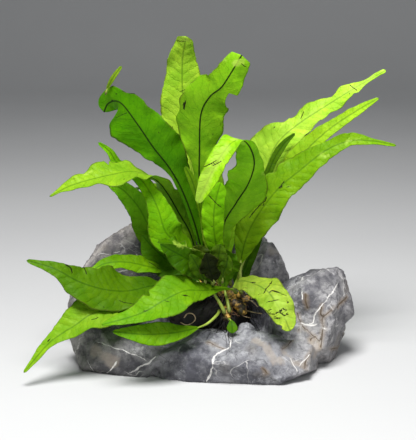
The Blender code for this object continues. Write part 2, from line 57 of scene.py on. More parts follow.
# green: the kind of green, and so the leaf's material: bright, mid or dark, which are lit, half-lit and
# shaded copies of one green, painted light and shade; the dark one also stands for old inner leaves.
# route: millimetre points from the rhizome to the tip, through which the midrib runs.
# upper: where the upper side faces, at even steps from root to tip.
# stalk: share of the length that is bare stalk.
# widths: half widths to the left and right of the midrib, looking at the upper side with the
# tip up, at even steps from the end of the stalk to the tip.
Frond = namedtuple("Frond", "name green route upper stalk widths")
TO_VIEWER = (0, -1, 0.2)
FROM_VIEWER = (0, 1, 0.1)
TILTED_UP = (0, -0.7, 0.7)
FRONDS = [
    Frond("frond_back_tall", "bright",
          [(-2, 8, 54), (-4, 17, 68), (-10, 23, 94), (-17, 31, 127), (-23, 38, 163),
           (-25, 41, 190), (-25, 41, 214), (-22, 33, 233)],
          [TO_VIEWER, TO_VIEWER, TO_VIEWER, (0, -1, 0.5)], 0.133,
          [(1.5, 1.5), (4, 4), (7, 7), (11, 13), (15, 18), (17, 20), (17, 20), (16, 19), (13, 15),
           (10, 10), (6, 5)]),
    Frond("frond_left_tall", "mid",
          [(-5, 4, 55), (-9, 2, 72), (-16, 2, 100), (-25, 0, 125), (-34, -3, 142),
           (-45, -6, 157), (-56, -8, 174), (-68, -5, 189), (-77, 2, 188), (-81, 5, 181)],
          [FROM_VIEWER, FROM_VIEWER, FROM_VIEWER, (0.1, 1, 0.1), (0.2, 1, 0.2), (0.2, 1, 0.5)], 0.156,
          [(1.5, 1.5), (4, 3), (6, 3), (9, 3), (15, 4), (20, 10), (18, 18), (14, 22), (11, 15),
           (4, 4)]),
    Frond("frond_centre_tall", "mid",
          [(2, 0, 54), (-3, -9, 74), (-9, -12, 101), (-12, -16, 130), (-12, -20, 157),
           (-11, -25, 183), (-5, -29, 196), (3, -32, 203), (9, -33, 212), (17, -31, 225)],
          [FROM_VIEWER, FROM_VIEWER, FROM_VIEWER, (0, 1, 0.3)], 0.275,
          [(1.5, 1.5), (3, 3), (3, 3), (4, 4), (9, 9), (16, 14), (17, 18), (17, 16), (13, 13),
           (12, 11), (8, 7)]),
    Frond("frond_over_arching", "mid",
          [(11, -5, 53), (6, -15, 75), (5, -19, 102), (14, -22, 120), (22, -26, 134),
           (26, -35, 150), (23, -45, 163), (17, -52, 170), (9, -58, 168), (1, -63, 158),
           (-6, -66, 145), (-13, -65, 129)],
          [FROM_VIEWER, FROM_VIEWER, (-0.2, 1, 0.1), (-0.4, 0.9, 0.4), (-0.3, 0, 1), (-0.2, -1, 0.4),
           (0, -1, 0)], 0.098,
          [(1.5, 1.5), (4, 4), (8, 7), (13, 10), (20, 14), (11, 18), (5, 13), (5, 10), (7, 8), (7, 7),
           (6, 6), (2, 2)]),
    Frond("frond_right_long", "bright",
          [(9, 3, 53), (14, 9, 64), (22, 16, 86), (31, 24, 110), (37, 30, 132), (45, 34, 152),
           (60, 38, 166), (85, 42, 182), (108, 44, 196), (127, 44, 207)],
          [TO_VIEWER, (-0.2, -0.9, 0.3), (-0.3, -0.8, 0.6), (-0.3, -0.7, 0.7)], 0.1,
          [(2, 2), (5, 4.5), (8, 7), (9.5, 8), (11, 9), (12.5, 10.5), (14, 12), (15.5, 13), (17, 14),
           (18, 15), (18, 15), (15, 15), (11, 14), (9, 12), (9, 11), (9.5, 10), (8, 8), (5, 8),
           (6.5, 7), (5, 5), (2, 2), (2, 2), (2, 2)]),
    Frond("frond_right_slender", "mid",
          [(15, -3, 52), (19, 0, 68), (29, 4, 91), (43, 8, 119), (61, 12, 146), (80, 14, 165),
           (100, 15, 179), (118, 14, 190)],
          [TO_VIEWER, (-0.2, -0.9, 0.3), (-0.3, -0.8, 0.6)], 0.156,
          [(1.5, 1.5), (4, 4), (6, 6), (8, 8), (9, 9), (9, 8), (7, 6), (5, 5), (4, 4), (1, 1)]),
    Frond("frond_right_low", "mid",
          [(18, -8, 52), (18, -11, 75), (25, -12, 100), (42, -10, 125), (60, -9, 141),
           (78, -8, 155), (95, -8, 162), (112, -9, 162), (128, -10, 159)],
          [TO_VIEWER, (-0.2, -0.9, 0.2), (-0.3, -0.8, 0.4), (0, -0.8, 0.6)], 0.12,
          [(1.5, 1.5), (8, 9), (12, 13), (12, 14), (13, 12), (13, 11), (9, 9), (6, 7), (6, 4), (2, 3),
           (1, 1)]),
    Frond("frond_right_short", "dark",
          [(20, -3, 51), (22, 4, 70), (26, 12, 94), (33, 17, 118), (42, 20, 142), (50, 21, 155),
           (58, 21, 163)],
          [TO_VIEWER, (-0.2, -0.9, 0.3)], 0.22,
          [(1.2, 1.2), (2, 2), (3, 3), (4, 4), (3, 3), (3, 3), (1, 1)]),
    Frond("frond_left_arching", "bright",
          [(-12, 13, 54), (-18, 13, 86), (-28, 12, 106), (-36, 9, 121), (-43, 4, 131),
           (-52, -2, 137), (-62, -9, 140), (-74, -15, 139), (-90, -20, 136), (-104, -23, 132),
           (-118, -24, 125)],
          [(0.2, 1, 0), (0.2, 1, 0.1), (0.2, 0.9, 0.5), (0, 0.1, 1), (0, -0.45, 0.9),
           (-0.1, -0.55, 0.8), (-0.2, -0.5, 0.8)], 0.15,
          [(1.5, 1.5), (5, 6), (8, 8), (10, 9), (10, 8), (10, 9), (13, 13), (14, 14), (8, 9), (4, 5),
           (1, 1)]),
    Frond("frond_left_curled", "mid",
          [(-18, 8, 54), (-21, 2, 78), (-36, -4, 93), (-42, -2, 110), (-48, 2, 122), (-57, 8, 133),
           (-72, 12, 142), (-78, 12, 151), (-86, 10, 158)],
          [TO_VIEWER, TO_VIEWER, (0.2, -1, 0.2), (0.3, -1, 0)], 0.14,
          [(1.5, 1.5), (10, 8), (13, 13), (9, 10), (6, 7), (5, 5), (4, 4), (3, 3), (1, 1)]),
    Frond("frond_left_rear", "dark",
          [(-21, 17, 53), (-28, 17, 67), (-42, 19, 79), (-51, 22, 94), (-58, 23, 107),
           (-68, 22, 119), (-77, 19, 126), (-85, 15, 132)],
          [TO_VIEWER, TO_VIEWER, (0, -1, 0.4)], 0.2,
          [(1.5, 1.5), (9, 8), (12, 12), (10, 11), (8, 8), (5, 5), (1, 1)]),
    Frond("frond_crown_left", "mid",
          [(-8, 0, 53), (-9, -8, 64), (-13, -20, 78), (-22, -31, 89), (-32, -40, 95),
           (-41, -46, 97)],
          [(0.3, 0.2, 1), (0, -0.5, 0.8)], 0.125,
          [(1.2, 1.2), (4, 4), (7, 8), (8, 10), (6, 6), (1, 1)]),
    Frond("frond_crown_crinkled", "dark",
          [(6.5, -36, 41), (3, -36, 49), (-3, -31.5, 58), (-7, -31, 68), (-10, -36, 78),
           (-12, -40, 87), (-13, -40, 94)],
          [(0, -1, 0.4), (0, -1, 0.2), (0, -0.95, 0.3), (0, -0.5, 0.9)], 0.36,
          [(1.2, 1.2), (3, 2), (8, 5), (11, 7), (12, 8), (10, 8), (4, 4)]),
    Frond("frond_crown_front", "dark",
          [(9.5, -35, 41.5), (8, -28.5, 49), (6.5, -21, 53), (6, -17.5, 60), (6, -20.5, 70),
           (6, -24, 79), (6, -28, 88)],
          [TO_VIEWER, TO_VIEWER, TO_VIEWER], 0.4,
          [(1.2, 1.2), (5, 5), (8, 9), (9, 12), (8, 9), (3, 3)]),
    Frond("frond_rolled_tip", "mid",
          [(3, -6, 52), (-2, -15, 74), (-8, -19, 95), (-12, -24, 118), (-17, -29, 137),
           (-22, -32, 148)],
          [TO_VIEWER, TO_VIEWER], 0.6,
          [(1.2, 1.2), (2, 2), (3, 3), (1.5, 1.5)]),
    Frond("frond_crown_upright", "mid",
          [(8, -8, 53), (3, -19, 76), (-1, -24, 94), (-2, -27, 112), (0, -30, 126), (3, -33, 137)],
          [TO_VIEWER, TO_VIEWER], 0.16,
          [(1.2, 1.2), (4, 4), (6, 6), (8, 7), (9, 8), (8, 7), (4, 4)]),
    Frond("frond_low_left", "bright",
          [(-24, 6, 51), (-34, -8, 56), (-48, -21, 58), (-64, -33, 58), (-80, -42, 62),
           (-97, -46, 69), (-113, -46, 78), (-133, -42, 83)],
          [TILTED_UP, (-0.1, -0.75, 0.65), (-0.1, -0.75, 0.65)], 0.15,
          [(1.5, 1.5), (6, 6), (11, 11), (16, 16), (17, 17), (14, 13), (7, 7), (4, 4), (1, 1)]),
    Frond("frond_left_bent", "mid",
          [(-28, 15, 54), (-37, 8, 61), (-50, 0, 67), (-66, -6, 72), (-81, -10, 72),
           (-93, -14, 66)],
          [(0, -0.6, 0.8), TILTED_UP, TILTED_UP], 0.2,
          [(1.5, 1.5), (6, 6), (7, 7), (6, 6), (4, 4), (1, 1)]),
    Frond("frond_drooping_left", "bright",
          [(-33, 9, 45), (-42, -10, 47), (-58, -34, 47), (-76, -48, 49), (-88, -54, 47),
           (-98, -59, 41), (-107, -62, 36), (-117, -66, 29), (-133, -72, 11)],
          [(0, -0.6, 0.8), (-0.1, -0.7, 0.7), (-0.2, -0.7, 0.7)], 0.35,
          [(1.5, 1.5), (9, 9), (15, 17), (11, 14), (7, 10), (4, 5), (3, 3), (1, 1)]),
    Frond("frond_front_low", "mid",
          [(2.5, -29, 43), (0, -40, 42), (-8, -52, 39), (-21, -62, 38), (-34, -68, 38),
           (-50, -73, 39), (-71, -76, 42)],
          [(0, -0.3, 1), (0, -0.8, 0.6), (0, -0.8, 0.5)], 0.35,
          [(1.2, 1.2), (5, 5), (8, 8), (8, 8), (5, 5), (1, 1)]),
    Frond("frond_front_broad", "bright",
          [(15, -15, 51), (11, -24, 57), (3, -32, 59), (-8, -42, 61), (-22, -53, 64),
           (-36, -62, 60), (-49, -69, 54), (-62, -75, 51), (-78, -80, 48)],
          [(-0.2, -0.3, 1), (-0.2, -0.75, 0.65), (-0.2, -0.75, 0.65), (-0.2, -0.75, 0.65)], 0.1,
          [(1.5, 1.5), (3, 4), (6, 7), (11, 12), (15, 15), (14, 13), (8, 8), (4, 5), (1, 1)]),
    Frond("frond_front_right", "bright",
          [(19, -15, 50), (14.5, -23, 61), (20, -30, 64.5), (28, -37, 64), (36, -45, 61),
           (42, -52, 54), (47, -57, 46), (51, -60, 37)],
          [(0.1, -0.6, 0.7), (0.1, -0.8, 0.6), (0.3, -0.95, 0.1)], 0.1,
          [(1.5, 1.5), (3, 6), (4, 9), (7, 10), (10, 11), (11, 11), (10, 10), (8, 8), (4, 4)]),
    Frond("plantlet", "bright",
          [(-79, -4, 194), (-77, -4, 200), (-73, -5, 207), (-67, -5, 215)],
          [TO_VIEWER, TO_VIEWER], 0.2,
          [(1, 1), (1.6, 1.6), (1.6, 1.6), (1, 1)]),
    Frond("small_round_leaf", "dark",
          [(8, -36, 38), (10, -41, 39), (11, -45, 36), (11, -47, 31)],
          [(0, -0.3, 1), TO_VIEWER], 0.4,
          [(1, 1), (3, 3), (4, 4), (2, 2)]),
    Frond("frond_crown_rear", "dark",
          [(17, 1.5, 50), (22, 11, 64), (28, 23, 80), (34, 31, 94), (39, 35, 105)],
          [TO_VIEWER, (-0.2, -0.9, 0.3)], 0.12,
          [(1.5, 1.5), (8, 5), (11, 6), (8, 5), (1, 1)]),
    Frond("frond_rear_left", "mid",
          [(-15, 16, 51), (-20, 23, 75), (-29, 33, 98), (-43, 46, 112), (-56, 58, 115),
           (-68, 67, 108)],
          [(0.2, -1, 0.2), (0.3, -0.4, 0.8), (-0.4, 0.4, 0.9)], 0.125,
          [(1.5, 1.5), (4, 4), (7, 7), (12, 12), (13, 13), (10, 10), (5, 5), (1, 1)]),
    Frond("frond_rear_right", "mid",
          [(5, 6, 51), (8, 15, 72), (14, 26, 94), (30, 43, 112), (44, 54, 120), (58, 60, 122)],
          [(-0.2, -1, 0.2), (-0.2, -0.6, 0.8), (0.2, 0.3, 1)], 0.125,
          [(1.5, 1.5), (4, 4), (6, 6), (10, 10), (11, 11), (9, 9), (5, 5), (1, 1)]),
    Frond("frond_rear_centre", "mid",
          [(-7, 12, 52), (-8, 26, 74), (-7, 42, 102), (-6, 56, 128), (-6, 66, 146),
           (-7, 74, 153)],
          [(0, -1, 0.2), (0, -0.8, 0.6), (0, -0.3, 1)], 0.125,
          [(1.5, 1.5), (4, 4), (8, 8), (12, 12), (13, 13), (10, 10), (6, 6), (1, 1)]),
]
# The crown's crowded small leaves, and the broad feet of the leaves beside it.
LEAFLETS = [
    Frond("leaflet_crown_left", "mid",
          [(-2, -34, 62), (-6, -40, 73), (-14, -43, 81), (-25, -47, 88), (-39, -51, 97)],
          [(0, -1, 0.2), (0, -1, 0.3), (0, -0.9, 0.4)], 0.1,
          [(1.5, 1.5), (8, 6), (12, 9), (11, 8), (7, 5), (1, 1)]),
    Frond("leaflet_crown_middle", "dark",
          [(0, -38, 75), (1, -42, 83), (2, -45, 91), (2.5, -47, 96)], [TO_VIEWER, (0, -0.9, 0.4)], 0.1,
          [(1, 1), (4, 5), (6, 6), (6, 5), (2, 2)]),
    Frond("leaflet_crown_right", "dark",
          [(4, -36, 64), (5, -39, 74), (7, -42, 80), (8, -43, 87)], [TO_VIEWER, TO_VIEWER], 0.2,
          [(1, 1), (4, 4), (5, 5), (4, 4), (1, 1)]),
    Frond("leaflet_crown_low", "mid",
          [(-7, -40, 65), (-11, -45, 75), (-15, -49, 84), (-18.5, -51, 90)],
          [TO_VIEWER, (0, -0.9, 0.4)], 0.15,
          [(1, 1), (4, 4), (6, 5), (5, 4), (1, 1)]),
    # Painted shade: a near-black leaf put deep in the crown, where its hollow lies in shade.
    Frond("leaflet_crown_brown", "dark",
          [(-1, -40, 65), (-4, -45, 75), (-6, -48, 83.5), (-7.5, -50, 90.5)], [TO_VIEWER, TO_VIEWER],
          0.1, [(1, 1), (4, 7), (8, 5), (5, 8), (1, 1)]),
    Frond("leaflet_foot_left", "dark",
          [(-8, 0, 52), (-19.5, 4, 58), (-33, 8, 67), (-45, 10, 77), (-55, 12, 88)],
          [TO_VIEWER, (0, -1, 0.4), (0, -1, 0.2)], 0.1,
          [(2, 2), (10, 9), (13, 11), (13, 11), (10, 9), (1, 1)]),
    Frond("leaflet_foot_right", "dark",
          [(18.5, -3, 47), (19, -1, 58.5), (23, 3, 70), (28, 8, 80.5), (34, 12, 90.5)],
          [TO_VIEWER, (-0.2, -0.9, 0.3)], 0.05,
          [(2, 2), (7, 5), (8, 5), (7, 5), (5, 4), (1, 1)]),
]

# How each blade is finished.
# ruffle and wave: height and length of the waves along the margins, mm.
# quilt: height of the swellings between the side veins, mm.
# tone: brightness of the blade, as a factor on its kind's green; it is partly the blade's own colour and
# partly painted light and shade, set higher on leaves that should look lit and lower on leaves in shade.
# gold: factor on the red of that green: above 1 the blade is yellower, below 1 a purer green.
# bites: (share of the length, side -1 or 1, depth as a share of the half width,
#        reach towards the root, reach towards the tip, mm).
# blunt: length of the rounded tip as a share of a half circle; small values look cut straight.
Look = namedtuple("Look", "ruffle wave quilt tone gold bites blunt", defaults=((), 1.0))
LOOKS = {
    "frond_back_tall": Look(1.2, 34, 0.45, 1.59, 1.08, blunt=0.3),
    "frond_left_tall": Look(1.2, 27, 0.3, 1.11, 0.72, [(0.88, -1, 0.25, 3, 5), (0.6, 1, 0.12, 3, 4)]),
    "frond_centre_tall": Look(1.5, 31, 0.3, 1.66, 1.13,
                              [(0.86, -1, 0.46, 9, 1.2), (0.72, 1, 0.12, 4, 4)], blunt=0.2),
    "frond_over_arching": Look(1.2, 22, 0.5, 2.11, 1.13),
    "frond_right_long": Look(2.0, 28, 0.8, 1.89, 1.16, [(0.86, 1, 0.3, 3, 3), (0.6, -1, 0.15, 3, 5)]),
    "frond_right_slender": Look(1.0, 26, 0.4, 1.94, 1.26),
    "frond_right_low": Look(1.6, 30, 0.6, 1.40, 1.03, [(0.5, -1, 0.2, 3, 4)]),
    "frond_right_short": Look(0.6, 20, 0.3, 1.2, 1.0),
    "frond_left_arching": Look(1.6, 26, 0.6, 1.23, 0.94, [(0.72, 1, 0.3, 2, 2)]),
    "frond_left_curled": Look(1.4, 30, 0.4, 1.89, 0.88),
    "frond_left_rear": Look(1.2, 30, 0.4, 3.20, 0.96),
    "frond_crown_left": Look(2.2, 15, 0.5, 0.69, 0.76),
    "frond_crown_crinkled": Look(2.6, 8, 1.1, 0.58, 1.24),
    "frond_crown_front": Look(2.4, 9, 1.1, 1.60, 0.96),
    "frond_rolled_tip": Look(0.3, 15, 0.2, 1.1, 1.0),
    "frond_crown_upright": Look(1.2, 16, 0.6, 2.02, 0.90),
    "frond_low_left": Look(1.6, 32, 0.7, 0.65, 0.73, [(0.62, 1, 0.12, 4, 6)]),
    "frond_left_bent": Look(1.6, 20, 0.6, 1.47, 0.95),
    "frond_drooping_left": Look(1.4, 28, 0.9, 1.30, 0.95),
    "frond_front_low": Look(1.0, 26, 0.4, 1.25, 0.90),
    "frond_front_broad": Look(1.4, 30, 0.5, 1.11, 0.75, [(0.66, 1, 0.35, 2, 4)]),
    "frond_front_right": Look(1.7, 17, 0.8, 1.45, 1.22, [(0.93, 1, 0.3, 2, 2)]),
    "plantlet": Look(0.2, 12, 0.1, 1.0, 1.0),
    "small_round_leaf": Look(0.6, 10, 0.3, 1.8, 1.0),
    "frond_crown_rear": Look(1.4, 20, 0.5, 0.9, 0.9),
    "leaflet_crown_left": Look(1.4, 15, 0.6, 0.50, 0.72),
    "leaflet_crown_middle": Look(2.6, 6, 1.0, 1.5, 1.15),
    "leaflet_crown_right": Look(2.2, 6, 1.0, 1.2, 1.0),
    "leaflet_crown_low": Look(2.0, 8, 0.9, 0.55, 0.85),
    # Painted shade: the crown's nearly black leaf in the shaded hollow.
    "leaflet_crown_brown": Look(2.6, 6, 1.1, 0.16, 1.5),
    "leaflet_foot_left": Look(1.2, 24, 0.5, 1.5, 0.8),
    "leaflet_foot_right": Look(1.2, 18, 0.4, 1.3, 0.85),
    "frond_rear_left": Look(1.6, 28, 0.5, 1.0, 1.0, [(0.7, -1, 0.15, 3, 5)]),
    "frond_rear_right": Look(1.4, 26, 0.5, 1.1, 1.0),
    "frond_rear_centre": Look(1.6, 30, 0.5, 1.0, 1.0, [(0.8, 1, 0.18, 3, 4)]),
}

# The creeping stem, its branch and its knob, as (points in mm, radius in mm).
RHIZOMES = {
    "rhizome": ([(-31, 15, 48), (-14, 9, 50), (2, 0, 49), (14, -8, 47), (25, -13, 44)], 4.4),
    "rhizome_branch": ([(11.5, -13.5, 44.5), (9.5, -20, 44.5), (8, -28, 41.5), (7, -34, 36)], 3.4),
    "rhizome_knob": ([(10.5, -23, 48.5), (14, -24.5, 46.5), (18.5, -26, 44), (17.5, -28, 38.5)], 3.4),
}
# The matted roots fill about this egg: its middle and radii in mm.
ROOT_CENTRE = Vector((-6, -4, 30))
ROOT_RADII = Vector((30, 22, 13))
# Young roots as (radius in mm, points in mm): a curled one and a few that run to the right.
YOUNG_ROOTS = [
    (0.5, [(-23, -42, 41), (-20.5, -41.5, 44), (-16.5, -41.5, 43.5), (-15, -42, 40), (-18, -43, 37),
           (-22, -44, 36.5), (-25.5, -43, 38)]),
    (0.45, [(14, -23, 46), (19, -22, 48), (25, -20, 47), (30, -22, 43)]),
    (0.6, [(17, -24, 42), (22, -25, 41), (27, -26, 40), (33, -26, 39)]),
    (0.4, [(16, -26, 40), (20, -29, 38), (25, -30, 37)]),
]
# A knuckle of rock in front of the roots: its middle and radii in mm.
ROCK_KNUCKLE = (Vector((21.5, -37, 29)), Vector((8, 6, 9)))

# Lines on the stone as (half width in mm, points in mm): white calcite veins, brown cracks and
# tan patches.
WHITE_VEINS = [
    (0.79, [(11, -48, 27), (9, -54, 24), (-1, -62, 20), (-3, -67, 17), (-4, -66, 10), (-6, -63, 2)]),
    (0.58, [(90, -7, 58), (84, -18, 53), (78, -27, 48), (72, -30, 41), (69, -32, 34)]),
    (0.65, [(62, -31, 33), (68, -32, 32), (74, -33, 33), (78, -35, 31), (88, -24, 30)]),
    (0.65, [(-43, -50, 14), (-48, -52, 11), (-55, -52, 7), (-61, -51, 3)]),
    (0.36, [(-85, -40, 22), (-78, -47, 23), (-68, -49, 20), (-57, -51, 17), (-50, -52, 13)]),
    (0.58, [(-78, -46, 1), (-74, -49, 6), (-71, -49, 10)]),
    (0.58, [(33, 50, 80), (30, 47, 74), (27, 43, 71), (26, 40, 67), (31, 37, 65), (35, 35, 67)]),
    (0.72, [(36, 34, 66), (34, 32, 61), (31, 32, 57), (26, 33, 53)]),
    (0.43, [(58, -60, 12), (62, -57, 14), (65, -53, 17)]),
    (0.43, [(52, -58, 16), (54, -61, 12), (56, -63, 9)]),
    (0.36, [(62, -20, 56), (62, -27, 51)]),
    (0.94, [(-64, 23, 62), (-68, 21, 59), (-72, 18, 58)]),
    (1.08, [(-60, 25, 69), (-58, 25, 66)]),
    (0.36, [(-90, 31, 68), (-73, 30, 71)]),
    (0.43, [(-88, -43, 1), (-90, -46, 6), (-92, -42, 9)]),
    (0.65, [(-30, 66, 40), (-20, 70, 22), (-14, 74, 4)]),
    (0.5, [(60, 60, 40), (40, 68, 26), (20, 72, 8)]),
    (0.58, [(-104, 30, 40), (-96, 10, 26), (-100, -6, 10)]),
    (0.5, [(100, 10, 50), (98, 20, 30), (90, 28, 6)]),
]
BROWN_CRACKS = [
    (0.5, [(96, -7, 46), (88, -24, 44), (80, -32, 41), (76, -32, 37), (77, -35, 31), (75, -37, 24),
           (74, -39, 18), (84, -25, 12), (91, -10, 8)]),
    (0.5, [(76, -29, 46), (75, -31, 40), (77, -33, 35)]),
    (0.4, [(58, -28, 40), (62, -31, 32), (68, -35, 26), (75, -39, 20)]),
    (0.5, [(68, -36, 23), (65, -53, 17), (63, -57, 14), (62, -60, 10)]),
    (0.7, [(64, -25, 53), (65, -29, 48), (65, -29, 44)]),
    (0.5, [(32, -67, 12), (35, -69, 9)]),
    (0.4, [(-6, -49, 26), (4, -56, 23)]),
    (0.4, [(60, -32, 29), (53, -47, 26), (47, -54, 21)]),
]
TAN_PATCHES = [
    (2.4, [(28, -50, 27), (33, -54, 26), (37, -58, 21), (41, -61, 16), (45, -60, 16)]),
    (1.4, [(49, -56, 19), (55, -59, 14), (60, -59, 12)]),
    (2.0, [(39, 35, 71), (43, 36, 70), (49, 38, 68)]),
    (3.0, [(68, -37, 21), (72, -39, 17), (69, -46, 15)]),
    (4.0, [(-87, -42, 17), (-74, -49, 12)]),
]

# Dark scratches, nicks and specks on the leaves, as (half width in mm, points in mm along the
# blade from its foot and across it from the midrib).
LEAF_MARKS = {
    "frond_back_tall": [(0.36, [(183, -5.7), (184, -0.5)]), (0.63, [(160, 5.6)]),
                        (0.3, [(145, -1.3), (147, 4.6)]), (0.63, [(183, 4.1)])],
    "frond_left_tall": [(0.42, [(152, -9), (150, -10.4)]), (0.42, [(150, -11.4), (148, -12.4)]),
                        (0.72, [(155, -5.1)]), (0.9, [(159, -0.8)]), (0.63, [(146, -7.7)]),
                        (0.63, [(140, 1.5)]), (0.3, [(146, 12), (143, 1.8)]), (0.54, [(132, 10.6)]),
                        (0.54, [(125, 14.1)]), (0.54, [(108, -11.9)])],
    "frond_centre_tall": [(1.08, [(138, 13), (136, 12.3)]), (0.63, [(131, -1.4)]), (0.54, [(122, -2.8)]),
                          (0.36, [(181, -3.5), (181, -6.3)]), (0.63, [(132, 14.1)])],
    "frond_over_arching": [(0.42, [(169, 5.6), (165, 2.8), (162, 1.2)]),
                           (0.36, [(166, 1.3), (161, -2.1)]), (0.63, [(88, -7.2)])],
    "frond_right_long": [(0.42, [(138, -2.9), (142, -5.3)]), (0.54, [(114, -2.5)]), (0.81, [(178, 2.2)]),
                         (0.36, [(182, -3.9), (184, 2.6)]), (0.54, [(148, 10)]), (0.54, [(154, -3)]),
                         (0.36, [(131, 12.2), (136, 11.6)])],
    "frond_right_low": [(1.17, [(86, 0.6)]), (0.42, [(84, 0), (90, -0.9)]),
                        (0.48, [(68, -1), (73, -2.1)]), (0.36, [(89, 3.8), (91, 4.8)]),
                        (0.42, [(55, -4.1), (64, -3.1), (69, -2)])],
    "frond_left_arching": [(0.54, [(151, 4.3)]), (0.54, [(129, 9.3)]), (0.54, [(144, -7.2)])],
    "frond_left_curled": [(0.9, [(54, 5.1)]), (0.45, [(58, -3.4)])],
    "frond_crown_upright": [(0.36, [(78, -5.2), (74, -0.7), (71, 4.4)]), (0.72, [(55, -1.4)])],
    "frond_low_left": [(0.54, [(108, 5.8), (104, 5.7), (102, 3.6)]),
                       (0.48, [(97, 10.9), (94, 11), (91, 7.6)]), (0.63, [(94, -10.9)]),
                       (0.81, [(76, -14.2)]), (0.36, [(65, -8.3), (56, -14.1)])],
    "frond_left_bent": [(0.48, [(31, -6.7), (22, -4.2), (16, -1.5)]), (0.36, [(29, 4.1), (16, -1.4)])],
    "frond_drooping_left": [(0.54, [(121, 1.6), (119, 1.8)]), (0.72, [(97, 3.2)]),
                            (0.36, [(88, -4.4), (83, -4.8)])],
    "frond_front_low": [(0.54, [(52, 3.4)]), (0.54, [(82, 5)])],
    "frond_front_broad": [(0.72, [(60, -3.4), (57, -5.2)]), (0.54, [(90, 0.8), (88, 0)]),
                          (0.42, [(73, -1.3), (72, -2.6)])],
    "frond_front_right": [(0.6, [(31, 0), (33, -0.8)]), (0.48, [(30, 7.4), (31, 6.4)]),
                          (0.6, [(44, -5.8), (44, -6.8)]), (0.48, [(46, 2.8), (44, -1), (44, -3.9)]),
                          (0.36, [(44, 6.5), (44, 5.6)]),
                          (0.48, [(48, -1), (48, -2.9), (50, -4.7), (52, -6.5)]),
                          (0.36, [(54, -7.3), (56, -8.5)]), (1.08, [(61, -7)]),
                          (0.48, [(63, 0), (63, -3)]),
                          (0.6, [(64, 3.5), (64, 0.7), (64, -0.7)]), (0.54, [(63, 8), (64, 6.2)]),
                          (0.48, [(64, -2.2), (65, -3.4)]), (0.6, [(67, 5.8), (68, 3.8)]),
                          (0.48, [(65, 1.3), (68, -0.6), (68, -2.9)]), (0.42, [(60, 7.9), (60, 6.3)]),
                          (0.36, [(54, 5.4), (55, 0.9), (56, -2.6)]), (0.36, [(60, 9.4), (63, 8.8)])],
}

# Painted highlights: pale patches where the blades are sunlit or folded towards the light, given as the
# marks are.
PAINTED_HIGHLIGHTS = {
    "frond_back_tall": [(2.2, [(186, -4.5), (187, 2.0)])],
    "frond_centre_tall": [(2.4, [(180, 0), (183, -2.2)]), (0.8, [(154, 10.9), (168, 11.1), (177, 8.7)])],
    "frond_over_arching": [(4.0, [(190, 0.5), (181, 1.3), (172, 1.6), (161, 1.2), (151, 0.6)]),
                           (2.4, [(143, 2.1), (131, 3.2)]), (1.2, [(99, -8.1), (95, -12.9)])],
    "frond_right_long": [(2.5, [(182, 0), (199, -1.6)]), (1.5, [(145, -3), (165, -4.7)])],
    "frond_right_low": [(2.2, [(121, 1.4), (126, 3.4)]), (1.0, [(142, 0), (153, 0)])],
    "frond_left_arching": [(1.2, [(143, 6.4), (127, 8.1)])],
    "frond_front_right": [(3.5, [(56, -1.8), (69, -1.3)])],
    "leaflet_foot_right": [(0.9, [(14, -6.5), (24, -8), (34, -7.5), (42, -5.5)])],
    "leaflet_crown_left": [(0.7, [(22, 9), (33, 8), (44, 5)])],
    "frond_crown_left": [(3.0, [(40, 6), (48, 4), (60, 0)])],
}


# Settings, each with its label, what it is and its default

def length_setting(label, about, default, low, high, precision=4):
    return bpy.props.FloatProperty(
        name=label, description=about, default=default, min=low, max=high, subtype="DISTANCE",
        unit="LENGTH", precision=precision)


def count_setting(label, about, default, low, high):
    return bpy.props.IntProperty(name=label, description=about, default=default, min=low, max=high)


def colour_setting(label, about, default):
    return bpy.props.FloatVectorProperty(
        name=label, description=about, default=default, size=3, min=0, max=1, subtype="COLOR")


def power_setting(label, about, default):
    return bpy.props.FloatProperty(
        name=label, description=about, default=default, min=0, subtype="POWER", unit="POWER")


class FernSettings(bpy.types.PropertyGroup):
    """Sizes and colours of the leaves"""

    blade_thickness: length_setting(
        "Blade thickness", "Thickness of a leaf blade", 0.00038, 0.0001, 0.002, precision=5)
    row_step: length_setting(
        "Row step", "Length of one mesh row along a blade", 0.0013, 0.0005, 0.01)
    columns: count_setting("Columns", "Mesh columns across a blade", 26, 6, 60)
    stalk_radius: length_setting(
        "Stalk radius", "Radius of a leaf stalk at its foot", 0.00125, 0.0003, 0.004, precision=5)
    # Painted light and shade: the three greens are lit, half-lit and shaded copies of one leaf green;
    # the dark one is also the colour of old inner leaves.
    bright_green: colour_setting(
        "Bright green", "Upper side of the sunlit leaves", (0.28, 0.46, 0.022))
    mid_green: colour_setting("Mid green", "Upper side of the middle leaves", (0.18, 0.36, 0.005))
    dark_green: colour_setting(
        "Dark green", "Upper side of the old inner leaves", (0.08, 0.18, 0.004))
    stalk_green: colour_setting("Stalk green", "Stalks of all leaves", (0.36, 0.48, 0.06))


class StoneSettings(bpy.types.PropertyGroup):
    """Sizes and colours of the stone"""

    grain: length_setting("Grain", "Mesh size of the stone's surface", 0.0014, 0.0008, 0.01)
    relief: length_setting("Relief", "Depth of the broken facets", 0.0016, 0, 0.006)
    light_grey: colour_setting("Light grey", "Palest limestone", (0.30, 0.30, 0.315))
    dark_grey: colour_setting("Dark grey", "Darkest limestone", (0.085, 0.085, 0.10))
    calcite: colour_setting("Calcite", "White veins", (0.72, 0.70, 0.67))
    ochre: colour_setting("Ochre", "Iron stain along cracks and rims", (0.20, 0.13, 0.06))


